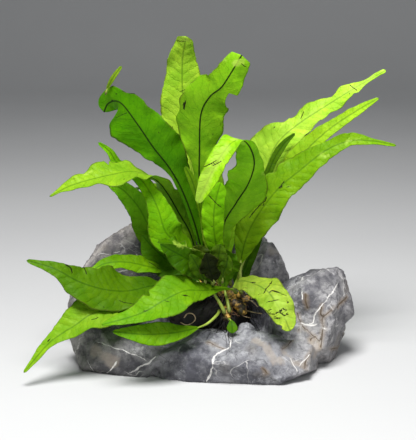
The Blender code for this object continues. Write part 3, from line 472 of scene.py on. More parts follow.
class RootSettings(bpy.types.PropertyGroup):
    """Sizes and colours of the rhizome and its roots"""

    fibres: count_setting("Fibres", "Number of root fibres", 620, 50, 2000)
    fibre_radius: length_setting(
        "Fibre radius", "Radius of a root fibre at its start", 0.00034, 0.0001, 0.001, precision=5)
    bark: colour_setting("Rhizome scales", "Dark scales of the rhizome", (0.035, 0.022, 0.010))
    # Partly painted highlight: the rhizome's golden flesh is painted bright, as the glints of light on
    # it.
    flesh_and_highlight: colour_setting(
        "Rhizome flesh", "Golden flesh between the scales", (0.74, 0.43, 0.07))
    # Partly painted shade: the old roots are near black, as the shade in the hollow as well as the
    # roots' own dark colour.
    root_dark: colour_setting("Old roots", "Dark root fibres", (0.005, 0.0035, 0.0025))
    root_tan: colour_setting("Curled roots", "Pale roots in front", (0.30, 0.22, 0.13))
    root_pale: colour_setting("Young roots", "Tan root fibres", (0.17, 0.085, 0.04))


class StageSettings(bpy.types.PropertyGroup):
    """Floor and light"""

    floor: colour_setting("Floor", "Colour of the floor and backdrop", (0.62, 0.62, 0.62))
    key_light: power_setting("Overhead light", "Strength of the soft light above", 18.0)
    fill_light: power_setting("Fill light", "Strength of the soft light in front", 3.0)


# Shader nodes

def scaled(colour, factor):
    return [factor * part for part in colour]


class Paint:
    """A new material whose nodes are made by short calls, most of which return an output.

    A plain number or colour may stand wherever a call takes an output.
    """

    def __init__(self, name):
        self.material = bpy.data.materials.new(name)
        self.material.use_nodes = True
        self.tree = self.material.node_tree
        self.tree.nodes.clear()
        self.tree.nodes.new("ShaderNodeOutputMaterial")
        self.place = self.node("TexCoord").outputs["Object"]

    def plug(self, socket, value):
        """Links an output to the socket, or sets the socket to a plain value."""
        if isinstance(value, bpy.types.NodeSocket):
            self.tree.links.new(value, socket)
        else:
            socket.default_value = value

    def node(self, kind, sockets=None, **settings):
        made = self.tree.nodes.new("ShaderNode" + kind)
        for name, value in settings.items():
            setattr(made, name, value)
        for name, value in (sockets or {}).items():
            self.plug(made.inputs[name], value)
        return made

    def maths(self, operation, first, second=0.0):
        return self.node("Math", {0: first, 1: second}, operation=operation).outputs[0]

    def plus(self, first, second):
        return self.maths("ADD", first, second)

    def minus(self, first, second):
        return self.maths("SUBTRACT", first, second)

    def times(self, first, second):
        return self.maths("MULTIPLY", first, second)

    def swing(self, value, middle, size):
        """How far the value is from the middle, times the size."""
        return self.times(self.minus(value, middle), size)

    def rise(self, value, low, high, bottom=0.0, top=1.0):
        """A soft step up: bottom below low, top above high."""
        return self.node("MapRange", {"Value": value, "From Min": low, "From Max": high,
                                      "To Min": bottom, "To Max": top},
                         interpolation_type="SMOOTHSTEP").outputs[0]

    def fall(self, value, low, high, top=1.0):
        """A soft step down: top below low, 0 above high."""
        return self.rise(value, low, high, top, 0.0)

    def blend(self, share, first, second, mode="MIX"):
        """The first colour, turned to the second by the share."""
        made = self.node("Mix", {0: share}, data_type="RGBA", blend_type=mode)
        # The sixth and seventh inputs are the ones for colours.
        for socket, value in ((made.inputs[6], first), (made.inputs[7], second)):
            is_output = isinstance(value, bpy.types.NodeSocket)
            self.plug(socket, value if is_output else (*value[:3], 1.0))
        return made.outputs[2]

    def shade(self, base, factors):
        """The base colour times the factors."""
        return self.blend(1.0, base, factors, "MULTIPLY")

    def tint(self, share, base, factors):
        """The base colour, turned by the share to what it is times the factors."""
        return self.blend(share, base, self.shade(base, factors))

    def cloud(self, scale, detail=3.0, rough=0.55, bend=0.0, place=None):
        """Soft noise around 0.5, with about as many swells to the metre as the scale says."""
        return self.node("TexNoise", {
            "Vector": self.place if place is None else place, "Scale": scale, "Detail": detail,
            "Roughness": rough, "Distortion": bend}).outputs[0]

    def cells(self, scale, place=None, feature="F1"):
        """Cells of broken ground: how far a place is from a cell's middle, or from its edge."""
        return self.node("TexVoronoi", {"Vector": self.place if place is None else place,
                                        "Scale": scale}, feature=feature).outputs["Distance"]

    def cell_chance(self, scale, place, channel):
        """A number from 0 to 1 for each cell; channel 0 and 1 give different ones."""
        cell = self.node("TexVoronoi", {"Vector": place, "Scale": scale})
        return self.node("SeparateColor", {0: cell.outputs["Color"]}).outputs[channel]

    def attribute(self, name):
        return self.node("Attribute", attribute_name=name).outputs["Fac"]

    def shifted(self, scale, reach, place=None):
        """The place moved about by noise, so that a pattern on it has uneven edges."""
        place = self.place if place is None else place
        drift = self.node("TexNoise", {"Vector": place, "Scale": scale, "Detail": 2.0})
        centred = self.node("VectorMath", {0: drift.outputs["Color"], 1: (0.5, 0.5, 0.5)},
                            operation="SUBTRACT")
        moved = self.node("VectorMath", {0: centred.outputs[0], "Scale": reach},
                          operation="SCALE")
        return self.node("VectorMath", {0: place, 1: moved.outputs[0]},
                         operation="ADD").outputs[0]

    def stroke(self, name, ragged):
        """Where a stroke shows, with edges made ragged by a value around 0."""
        across = self.maths("ABSOLUTE", self.attribute(name + "_across"))
        return self.times(self.fall(self.plus(across, ragged), 0.7, 1.2),
                          self.fall(self.attribute(name), 0.3, 0.9))

    def bump(self, height, strength, distance):
        return self.node("Bump", {"Height": height, "Strength": strength,
                                  "Distance": distance}).outputs[0]

    def surface(self, base, rough, normal, gloss):
        return self.node("BsdfPrincipled", {"Base Color": base, "Roughness": rough,
                                            "Normal": normal, "Specular IOR Level": gloss}).outputs[0]

    def finish(self, shader):
        """Puts the shader on the surface and returns the material."""
        self.tree.links.new(shader, self.tree.nodes["Material Output"].inputs["Surface"])
        return self.material


# Leaf materials

# Millimetres of blade in one unit of its UV map.
UV_LENGTH = 100.0
# The side veins' distance along the midrib in mm, and how far they lean to the tip.
SIDE_VEIN_GAP = 6.8
SIDE_VEIN_SLANT = 0.8
MARGIN_BROWN = (0.10, 0.13, 0.012)
SCRATCH_BROWN = (0.018, 0.022, 0.006)
STALK_FOOT_BROWN = (0.045, 0.028, 0.012)
# Painted highlight: the colour of the pale patches where blades catch the light.
SUNLIT_GREEN = (0.50, 0.70, 0.09)
LOWER_MIDRIB_GREEN = (0.016, 0.042, 0.003)
# The underside's share of the upper side's red, green and blue.
UNDERSIDE = (0.86, 1.0, 1.0)
# Share of the light that goes through a blade.
BLADE_GLOW = 0.36


class LeafPaint(Paint):
    """A leaf's material, with the patterns that its colours and its relief share.

    They come from the blade's attributes, from its place, and from its UV map, which runs along
    and across the blade with the midrib at 0.5.
    """

    def __init__(self, name):
        super().__init__(name)
        self.uv = self.node("UVMap", uv_map="UVMap").outputs[0]
        parts = self.node("SeparateXYZ", {0: self.uv})
        along = self.times(parts.outputs[0], UV_LENGTH)
        aside = self.maths("ABSOLUTE", self.swing(parts.outputs[1], 0.5, UV_LENGTH))
        drift = self.swing(self.cloud(14.0, 2.0, place=self.uv), 0.5, 7.0)
        slanted = self.plus(self.minus(along, self.times(aside, SIDE_VEIN_SLANT)), drift)
        from_vein = self.maths("PINGPONG", slanted, SIDE_VEIN_GAP / 2)
        self.side_vein = self.times(self.fall(from_vein, 0.0, 0.55), self.rise(aside, 0.5, 2.0))
        self.net_vein = self.fall(
            self.cells(24.0, self.shifted(30.0, 0.02, self.uv), "DISTANCE_TO_EDGE"), 0.0, 0.05)
        uneven = self.times(self.cloud(60.0, place=self.uv), 0.2)
        self.midrib = self.fall(self.plus(aside, uneven), 0.42, 0.85)
        self.mottle = self.cloud(42.0, 4.0, 0.65, 0.3)
        self.blotch = self.cloud(130.0, 3.0, 0.6, 0.5)
        self.fleck = self.cloud(420.0, 2.0, 0.6)
        self.margin = self.attribute("margin")

    def own_green(self, kind):
        """The kind's green, turned by the blade's tone, which holds painted light and shade, and by its
        gold, and mottled.
        """
        tone, gold = self.attribute("tone"), self.attribute("gold")
        own = self.node("CombineColor", {0: self.times(tone, gold), 1: tone,
                                         2: self.times(tone, self.maths("POWER", gold, 4.0))})
        base = self.shade(kind, own.outputs[0])
        for patch, low, high, share, factors in (
                (self.mottle, 0.38, 0.66, 0.75, (0.60, 0.78, 0.42)),
                (self.blotch, 0.50, 0.68, 0.5, (1.38, 1.22, 1.1)),
                (self.fleck, 0.55, 0.72, 0.35, (0.66, 0.78, 0.5))):
            base = self.tint(self.rise(patch, low, high, 0.0, share), base, factors)
        return base

    def specks(self):
        """A few small dark specks, thicker near the margin."""
        stretched = self.node("Mapping", {"Vector": self.uv, "Scale": (1.0, 2.2, 1.0),
                                          "Rotation": (0, 0, 0.5)}).outputs[0]
        place = self.shifted(60.0, 0.01, stretched)
        size = self.rise(self.cell_chance(13.0, place, 0), 0.80, 1.0, 0.0, 0.10)
        return self.times(self.maths("LESS_THAN", self.cells(13.0, place), size),
                          self.rise(self.margin, 0.0, 0.9, 0.35, 0.9))


def leaf_material(name, green, under):
    """A leaf's upper side, or its underside: veined, mottled and letting light through."""
    paint = LeafPaint(name)
    base = paint.own_green(green)
    if under:
        vein, vein_share, net_share = paint.shade(base, (0.50, 0.66, 0.35)), 0.28, 0.22
        rib, rib_share, depth = LOWER_MIDRIB_GREEN, 0.98, 0.40
    else:
        vein, vein_share, net_share = paint.shade(base, (0.62, 0.76, 0.5)), 0.20, 0.26
        rib, rib_share, depth = paint.shade(base, (0.42, 0.55, 0.5)), 0.7, 0.6
    base = paint.blend(paint.times(paint.side_vein, vein_share), base, vein)
    base = paint.blend(paint.times(paint.net_vein, net_share), base, vein)
    base = paint.blend(paint.times(paint.midrib, rib_share), base, rib)
    edge = paint.times(paint.rise(paint.margin, 0.90, 1.0),
                       paint.rise(paint.blotch, 0.40, 0.60, 0.15, 0.8))
    base = paint.blend(edge, base, MARGIN_BROWN)
    # Painted highlights: the pale patches turn to sunlit green, with ragged edges from the blotches.
    from_highlight = paint.plus(paint.attribute("pale"), paint.swing(paint.blotch, 0.46, 13.0))
    base = paint.blend(paint.fall(from_highlight, -1.4, 1.0, 0.7), base, SUNLIT_GREEN)
    ragged = paint.swing(paint.cloud(90.0, 2.0, place=paint.uv), 0.42, 2.4)
    marks = paint.maths("MAXIMUM", paint.specks(), paint.stroke("mark", ragged))
    base = paint.blend(marks, base, SCRATCH_BROWN)
    sunk = paint.plus(paint.times(paint.side_vein, 0.5), paint.times(paint.net_vein, 0.25))
    height = paint.minus(paint.times(paint.cloud(45.0, place=paint.uv), 0.6), sunk)
    normal = paint.bump(height, depth, 0.0008)
    skin = paint.surface(base, paint.rise(paint.mottle, 0.3, 0.7, 0.36, 0.52), normal, 0.09)
    through = paint.node("BsdfTranslucent", {"Color": paint.shade(base, (1.15, 1.25, 0.25)),
                                             "Normal": normal})
    mixed = paint.node("MixShader", {0: BLADE_GLOW, 1: skin, 2: through.outputs[0]})
    return paint.finish(mixed.outputs[0])


def stalk_material(name, green):
    """A stalk: dark brown at the foot, then green, with fine lengthwise streaks."""
    paint = Paint(name)
    uv = paint.node("UVMap", uv_map="UVMap").outputs[0]
    along = paint.times(paint.node("SeparateXYZ", {0: uv}).outputs[0], UV_LENGTH)
    stretched = paint.node("Mapping", {"Vector": uv, "Scale": (6, 160, 1)}).outputs[0]
    streak = paint.cloud(1.0, 2.0, place=stretched)
    foot = paint.fall(paint.plus(along, paint.times(paint.cloud(200.0), 8.0)), 2.0, 12.0)
    stem = paint.blend(paint.rise(streak, 0.35, 0.7), scaled(green, 0.7),
                       [min(1, part * 1.15 + 0.02) for part in green])
    base = paint.blend(paint.times(foot, 0.85), stem, STALK_FOOT_BROWN)
    return paint.finish(paint.surface(base, paint.rise(streak, 0.3, 0.7, 0.35, 0.55),
                                      paint.bump(streak, 0.4, 0.0003), 0.4))


# Curves, meshes and strokes

def curve_point(values, place):
    """A point on the smooth curve through the values; place counts in whole values from 0."""
    last = len(values) - 1
    step = min(max(int(place), 0), last - 1)
    t = place - step
    p1, p2 = Vector(values[step]), Vector(values[step + 1])
    p0 = Vector(values[step - 1]) if step > 0 else 2 * p1 - p2
    p3 = Vector(values[step + 2]) if step + 2 <= last else 2 * p2 - p1
    return 0.5 * (2 * p1 + (p2 - p0) * t + (2 * p0 - 5 * p1 + 4 * p2 - p3) * t * t
                  + (3 * p1 - p0 - 3 * p2 + p3) * t ** 3)


def curve_share(values, share):
    return curve_point(values, min(max(share, 0.0), 1.0) * (len(values) - 1))


def even_route(points, step):
    """Points and directions at even steps of about the given length, and the whole length."""
    fine_count = 24 * (len(points) - 1)
    fine = [curve_point(points, (len(points) - 1) * i / fine_count) for i in range(fine_count + 1)]
    reach = [0.0]
    for before, after in zip(fine, fine[1:]):
        reach.append(reach[-1] + (after - before).length)
    count = max(4, round(reach[-1] / step))
    places, nearest = [], 0
    for i in range(count + 1):
        target = reach[-1] * i / count
        while nearest < fine_count - 1 and reach[nearest + 1] < target:
            nearest += 1
        share = (target - reach[nearest]) / (reach[nearest + 1] - reach[nearest])
        places.append(fine[nearest].lerp(fine[nearest + 1], share))
    ahead = places[1:] + [2 * places[-1] - places[-2]]
    behind = [2 * places[0] - places[1]] + places[:-1]
    return places, [(a - b).normalized() for a, b in zip(ahead, behind)], reach[-1]


def add_object(name, data):
    made = bpy.data.objects.new(name, data)
    bpy.context.scene.collection.objects.link(made)
    return made


def make_object(name, mesh, finishes):
    mesh.name = name
    for finish in finishes:
        mesh.materials.append(finish)
    return add_object(name, mesh)


def evaluated_mesh(item):
    """The object's mesh with its modifiers applied; the object itself is removed."""
    graph = bpy.context.evaluated_depsgraph_get()
    mesh = bpy.data.meshes.new_from_object(item.evaluated_get(graph), preserve_all_data_layers=True,
                                           depsgraph=graph)
    bpy.data.objects.remove(item, do_unlink=True)
    return mesh


def opened(mesh):
    """A bmesh of the mesh, which is removed."""
    bm = bmesh.new()
    bm.from_mesh(mesh)
    bpy.data.meshes.remove(mesh)
    return bm


def closed(bm, name):
    """A smooth mesh of the bmesh, which is freed."""
    for face in bm.faces:
        face.smooth = True
    mesh = bpy.data.meshes.new(name)
    bm.to_mesh(mesh)
    bm.free()
    return mesh


def push_out(corners, moves):
    """Moves each corner along its normal, by millimetres."""
    for corner, move in zip(corners, moves):
        corner.co += corner.normal * move * MM


# The reach and place across that stand for no stroke nearby.
FAR = 12.0


def stroke_pieces(strokes):
    """The straight pieces of the strokes as (half width, start, line, its length squared)."""
    pieces = []
    for half, points in strokes:
        places = [Vector((*point, 0)[:3]) for point in points]
        for first, second in zip(places, places[1:] or places):
            line = second - first
            pieces.append((half, first, line, max(1e-6, line.length_squared)))
    return pieces


def stroke_reach(point, normal, pieces):
    """How far a point lies outside the nearest stroke, in mm, and its place across that stroke.

    The place across is -1 and 1 at the stroke's edges, so that it stays sharp on a coarse mesh.
    """
    nearest, across = FAR, FAR
    for half, first, line, squared in pieces:
        away = point - first
        away -= line * max(0.0, min(1.0, away.dot(line) / squared))
        reach = away.length - half
        if reach < nearest:
            nearest = reach
            across = math.copysign(away.length / half, away.dot(line.cross(normal)))
    return nearest, across


def add_tube(bm, places, frames, radii, sides):
    """A closed round tube along the places, made from a grid rolled up.

    Returns its corners, its faces and the row of each corner.
    """
    last = len(places) - 1
    grid = bmesh.ops.create_grid(bm, x_segments=sides, y_segments=last, size=1.0)["verts"]
    rows = {}
    for corner in grid:
        row = round((corner.co.y + 1) / 2 * last)
        turn = -math.pi * corner.co.x
        sideways, upper = frames[row]
        corner.co = (places[row] + radii[row] * (math.cos(turn) * sideways
                                                 + math.sin(turn) * upper)) * MM
        rows[corner] = row
    return grid, {face for corner in grid for face in corner.link_faces}, rows


# Leaf shapes

class Blade:
    """One frond's surface: gives the point at a row and a share across, in millimetres."""

    # Half width in mm below which a blade has shorter mesh rows and fewer columns.
    NARROW = 6
    # Half width of the bare stalk, and the least of the blade, as a share of its first half width.
    STALK_WIDTH = 0.55
    # The least half width anywhere.
    LEAST_WIDTH = 0.12
    # The margins wander over about this length in mm, by these shares of the half width.
    WANDER_LENGTH = 11
    WANDER = 0.08
    FINE_WANDER = 0.045
    # Depth in mm of the margins' nicks, the noise from which one starts, and the depth of their
    # fine teeth; all are shallower where the half width is under WHOLE_NICKS.
    NICK = 1.3
    NICK_FROM = 0.22
    TOOTH = 0.35
    WHOLE_NICKS = 7
    # Length of a rounded tip, as a factor on the last half width.
    TIP = 1.25
    # Rise of the margins over the midrib, as a share of the half width.
    TROUGH = 0.16
    # The half width from which waves and swellings have their whole height.
    WHOLE_WAVES = 9

    def __init__(self, frond, look, step, seed):
        self.frond, self.look = frond, look
        self.widest = max(map(max, frond.widths))
        if self.widest < self.NARROW:
            step *= 0.75
        self.rows, self.directions, self.length = even_route(frond.route, step)
        self.last = len(self.rows) - 1
        self.seed = Vector((seed * 3.7, seed * 1.9, seed * 0.7))
        self.phase = {-1: seed * 1.3, 1: seed * 2.1 + 1.7}
        self.frames = []
        for row, direction in enumerate(self.directions):
            upper = curve_share(frond.upper, row / self.last)
            upper = (upper - direction * upper.dot(direction)).normalized()
            self.frames.append((direction.cross(upper), upper))

    def along(self, row):
        return self.length * row / self.last

    def half_width(self, row, side):
        """Half width with its small unevenness, bites and rounded tip."""
        blade = (row / self.last - self.frond.stalk) / (1 - self.frond.stalk)
        least = self.STALK_WIDTH * self.frond.widths[0][0]
        if blade <= 0:
            return least
        half = max(curve_share(self.frond.widths, blade)[0 if side < 0 else 1], least)
        along = self.along(row)
        spot = Vector((along / self.WANDER_LENGTH, side * 5, 0)) + self.seed
        half *= 1 + self.WANDER * noise.noise(spot) + self.FINE_WANDER * noise.noise(spot * 3.3)
        half -= min(1.0, half / self.WHOLE_NICKS) * (
            self.NICK * max(0.0, noise.noise(spot * 2.1) - self.NICK_FROM)
            + self.TOOTH * abs(noise.noise(spot * 6.7)))
        for place, bitten, depth, back, ahead in self.look.bites:
            away = along - place * self.length
            reach = ahead if away > 0 else back
            if bitten == side and abs(away) < reach:
                half *= 1 - depth * math.cos(math.pi / 2 * away / reach) ** 1.3
        end = self.length - along
        tip = max(self.frond.widths[-1]) * self.TIP * self.look.blunt
        if end < tip:
            half *= math.sqrt(max(0.0, 1 - (1 - end / tip) ** 2))
        return max(half, self.LEAST_WIDTH)

    @staticmethod
    def quilt(along, aside):
        """Swelling between the slanted side veins, from 0 on a vein to 1."""
        slanted = (along - SIDE_VEIN_SLANT * aside) / SIDE_VEIN_GAP
        return abs(math.sin(math.pi * slanted))

    def wave(self, along, side):
        """Two waves and a slow swing, which lift a margin up and down."""
        phase = self.phase[side]
        turn = 2 * math.pi * along / self.look.wave
        swing = noise.noise(Vector((along / 25, side * 3.0, 7.0)) + self.seed)
        wave = math.sin(turn + phase + 1.6 * swing)
        wave += 0.45 * math.sin(1.93 * turn + 2.2 * phase)
        return wave + 0.8 * swing

    def point(self, row, across, height=0.0):
        """The point at a share across, -1 to 1, and its distance from the midrib."""
        look = self.look
        along = self.along(row)
        side = -1 if across < 0 else 1
        half = self.half_width(row, side)
        sideways, upper = self.frames[row]
        aside = abs(across)
        distance = aside * half
        room = min(1.0, half / self.WHOLE_WAVES)
        # The root rounds the trough's bottom off; what is taken away puts the midrib at 0.
        lift = half * self.TROUGH * (math.sqrt(aside * aside + 0.02) - 0.1414)
        lift += look.ruffle * self.wave(along, side) * aside ** 2 * room
        spread = math.sin(math.pi * aside) ** 0.7 if aside < 1 else 0.0
        lift += look.quilt * (self.quilt(along, distance) - 0.6) * spread * room
        centre = self.rows[row] + sideways * across * half
        lift += 0.8 * look.quilt * room * noise.noise(centre / 7.5 + self.seed) * min(1, 2 * aside)
        return centre + upper * (lift + height), distance


def build_lamina(blade, finishes, settings):
    """The blade as a thin closed sheet, with its UV map and attributes."""
    columns = settings.columns if blade.widest > blade.NARROW else settings.columns // 2
    # The sheet starts a few rows down the stalk, inside it.
    first_row = max(0, round(blade.last * blade.frond.stalk) - 4)
    spans = blade.last - first_row
    bm = bmesh.new()
    bmesh.ops.create_grid(bm, x_segments=columns, y_segments=spans, size=1.0)
    tone, gold, margin, mark, mark_across, pale = [
        bm.verts.layers.float.new(name)
        for name in ("tone", "gold", "margin", "mark", "mark_across", "pale")]
    marks = stroke_pieces(LEAF_MARKS.get(blade.frond.name, ()))
    # The pale patches are painted highlights, where the blade is sunlit or folded to the light.
    patches = stroke_pieces(PAINTED_HIGHLIGHTS.get(blade.frond.name, ()))
    out_of_blade = Vector((0, 0, 1))
    flat = {}
    for corner in bm.verts:
        across = corner.co.x
        row = first_row + round((corner.co.y + 1) / 2 * spans)
        place, distance = blade.point(row, across)
        along = blade.along(row)
        spot = Vector((along, math.copysign(distance, across), 0))
        corner.co = place * MM
        flat[corner] = spot
        corner[margin] = abs(across)
        # A blade is darker near its foot: partly the older tissue there, partly painted shade of the
        # crown.
        share = along / blade.length
        corner[tone] = blade.look.tone * (0.62 + 0.42 * share)
        corner[gold] = blade.look.gold
        corner[mark], corner[mark_across] = stroke_reach(spot, out_of_blade, marks)
        corner[pale] = stroke_reach(spot, out_of_blade, patches)[0]
    uv = bm.loops.layers.uv.new("UVMap")
    for face in bm.faces:
        for loop in face.loops:
            along, across, _ = flat[loop.vert]
            loop[uv].uv = (along / UV_LENGTH, across / UV_LENGTH + 0.5)
    sheet = make_object("lamina", closed(bm, "lamina"), finishes)
    wall = sheet.modifiers.new("thickness", "SOLIDIFY")
    wall.thickness = settings.blade_thickness
    wall.offset = 0.0
    wall.material_offset = 1
    wall.material_offset_rim = 1
    return sheet


# Radii in mm that the rib tapers to and is closed at, and how deep it sinks into the blade.
RIB_TIP = 0.16
RIB_END = 0.02
RIB_SUNK = 0.12
# Shares of the stalk's radius that run on as the midrib, and that the stalk loses up to there.
MIDRIB_SHARE = 0.42
STALK_LOSS = 0.38


def add_midrib(bm, blade, settings):
    """Stalk and midrib as one tapering rib, sunk in the blade and standing out underneath."""
    bare = blade.frond.stalk
    rows = list(range(0, blade.last - 3, 2))
    # Small leaves have thin stalks.
    foot = settings.stalk_radius / MM * min(1.0, 0.55 + blade.widest / 28)
    places, frames, radii = [], [], []
    for row in rows:
        share = row / blade.last
        radius = foot * (1 - share) ** 0.75 + RIB_TIP
        radius *= MIDRIB_SHARE if share > bare else 1 - STALK_LOSS * (share / bare) ** 3
        if row in (rows[0], rows[-1]):
            radius = RIB_END
        elif row == rows[1]:
            # A stalk is swollen where it leaves the rhizome.
            radius *= 1.25
        depth = RIB_SUNK + 0.35 * radius if share > bare else 0.0
        places.append(blade.point(row, 0.0, -depth)[0])
        frames.append(blade.frames[row])
        radii.append(radius)
    grid, faces, order = add_tube(bm, places, frames, radii, 8)
    values = {"tone": blade.look.tone, "gold": blade.look.gold, "margin": 0.0, "pale": FAR,
              "mark": FAR, "mark_across": FAR}
    for name, value in values.items():
        layer = bm.verts.layers.float[name]
        for corner in grid:
            corner[layer] = value
    uv = bm.loops.layers.uv.verify()
    for face in faces:
        on_blade = min(rows[order[corner]] for corner in face.verts) / blade.last > bare
        face.material_index = 1 if on_blade else 2
        for loop in face.loops:
            loop[uv].uv = (blade.along(rows[order[loop.vert]]) / UV_LENGTH, 0.5)
    bmesh.ops.remove_doubles(bm, verts=grid, dist=0.00004)


def build_frond(frond, look, finishes, settings, seed):
    blade = Blade(frond, look, settings.row_step / MM, seed)
    bm = opened(evaluated_mesh(build_lamina(blade, finishes, settings)))
    add_midrib(bm, blade, settings)
    leaf = make_object("leaf_" + frond.name.replace("frond_", ""), closed(bm, frond.name), finishes)
    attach(leaf, "root")
    if frond.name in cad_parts:
        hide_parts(frond.name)


# Operators

class FERN_OT_stage(bpy.types.Operator):
    """Camera at the photograph's angle, pale floor and backdrop, soft overhead light"""

    bl_idname = "fern.stage"
    bl_label = "Stage"

    # Focal length in pixels of a frame 440 high, on a sensor 36 mm wide.
    FOCUS = 1200
    FRAME_HEIGHT = 440
    SENSOR = 36.0
    # The floor's half width, its near edge, its flat depth and the radius of the bend behind it.
    FLOOR_HALF_WIDTH = 3.2
    FLOOR_NEAR = -2.0
    FLOOR_DEPTH = 3.6
    BEND_RADIUS = 0.8
    # Height of the upright backdrop over the bend.
    BACKDROP = 2.0
    LAMP_AIM = Vector((0, 0, 0.1))

    def execute(self, context):
        settings = context.scene.fern_stage
        self.add_camera(context)
        self.add_floor(settings)
        self.add_lamp("overhead", Vector((-0.08, -0.42, 1.02)), 0.50, settings.key_light)
        self.add_lamp("front_fill", Vector((0.5, -1.3, 0.7)), 0.9, settings.fill_light)
        world = bpy.data.worlds.new("studio")
        world.use_nodes = True
        sky = world.node_tree.nodes["Background"].inputs
        sky["Color"].default_value = (0.9, 0.95, 1.0, 1.0)
        sky["Strength"].default_value = 0.14
        context.scene.world = world
        return {"FINISHED"}

    def add_camera(self, context):
        lens = bpy.data.cameras.new("camera")
        lens.sensor_width = self.SENSOR
        lens.lens = self.FOCUS * self.SENSOR / self.FRAME_HEIGHT
        lens.clip_start, lens.clip_end = 0.05, 20.0
        camera = add_object("camera", lens)
        camera.location = (-0.006, -0.85449, 0.29965)
        camera.rotation_euler = (math.radians(77), 0, 0)
        context.scene.camera = camera
        context.scene.view_settings.view_transform = "Standard"

    def add_floor(self, settings):
        """A floor that bends up into a backdrop: half of its mesh is flat, a quarter is bent."""
        bm = bmesh.new()
        bmesh.ops.create_grid(bm, x_segments=4, y_segments=48, size=1.0)
        for corner in bm.verts:
            along = (corner.co.y + 1) / 2
            turn = min(1.0, max(0.0, (along - 0.5) / 0.25)) * math.pi / 2
            depth = self.FLOOR_NEAR + self.FLOOR_DEPTH * min(along, 0.5) / 0.5
            depth += self.BEND_RADIUS * math.sin(turn)
            height = self.BEND_RADIUS * (1 - math.cos(turn))
            height += self.BACKDROP * max(0.0, along - 0.75) / 0.25
            corner.co = (corner.co.x * self.FLOOR_HALF_WIDTH, depth, height)
        paint = Paint("floor")
        tint = paint.blend(paint.rise(paint.cloud(3.0, 2.0), 0.3, 0.7), settings.floor,
                           scaled(settings.floor, 0.97))
        shader = paint.node("BsdfPrincipled", {"Base Color": tint, "Roughness": 0.85})
        floor = make_object("floor", closed(bm, "floor"), [paint.finish(shader.outputs[0])])

    def add_lamp(self, name, place, size, power):
        lamp = bpy.data.lights.new(name, "AREA")
        lamp.shape = "DISK"
        lamp.size = size
        lamp.energy = power
        light = add_object(name, lamp)
        light.location = place
        light.rotation_euler = (self.LAMP_AIM - place).to_track_quat("-Z", "Y").to_euler()


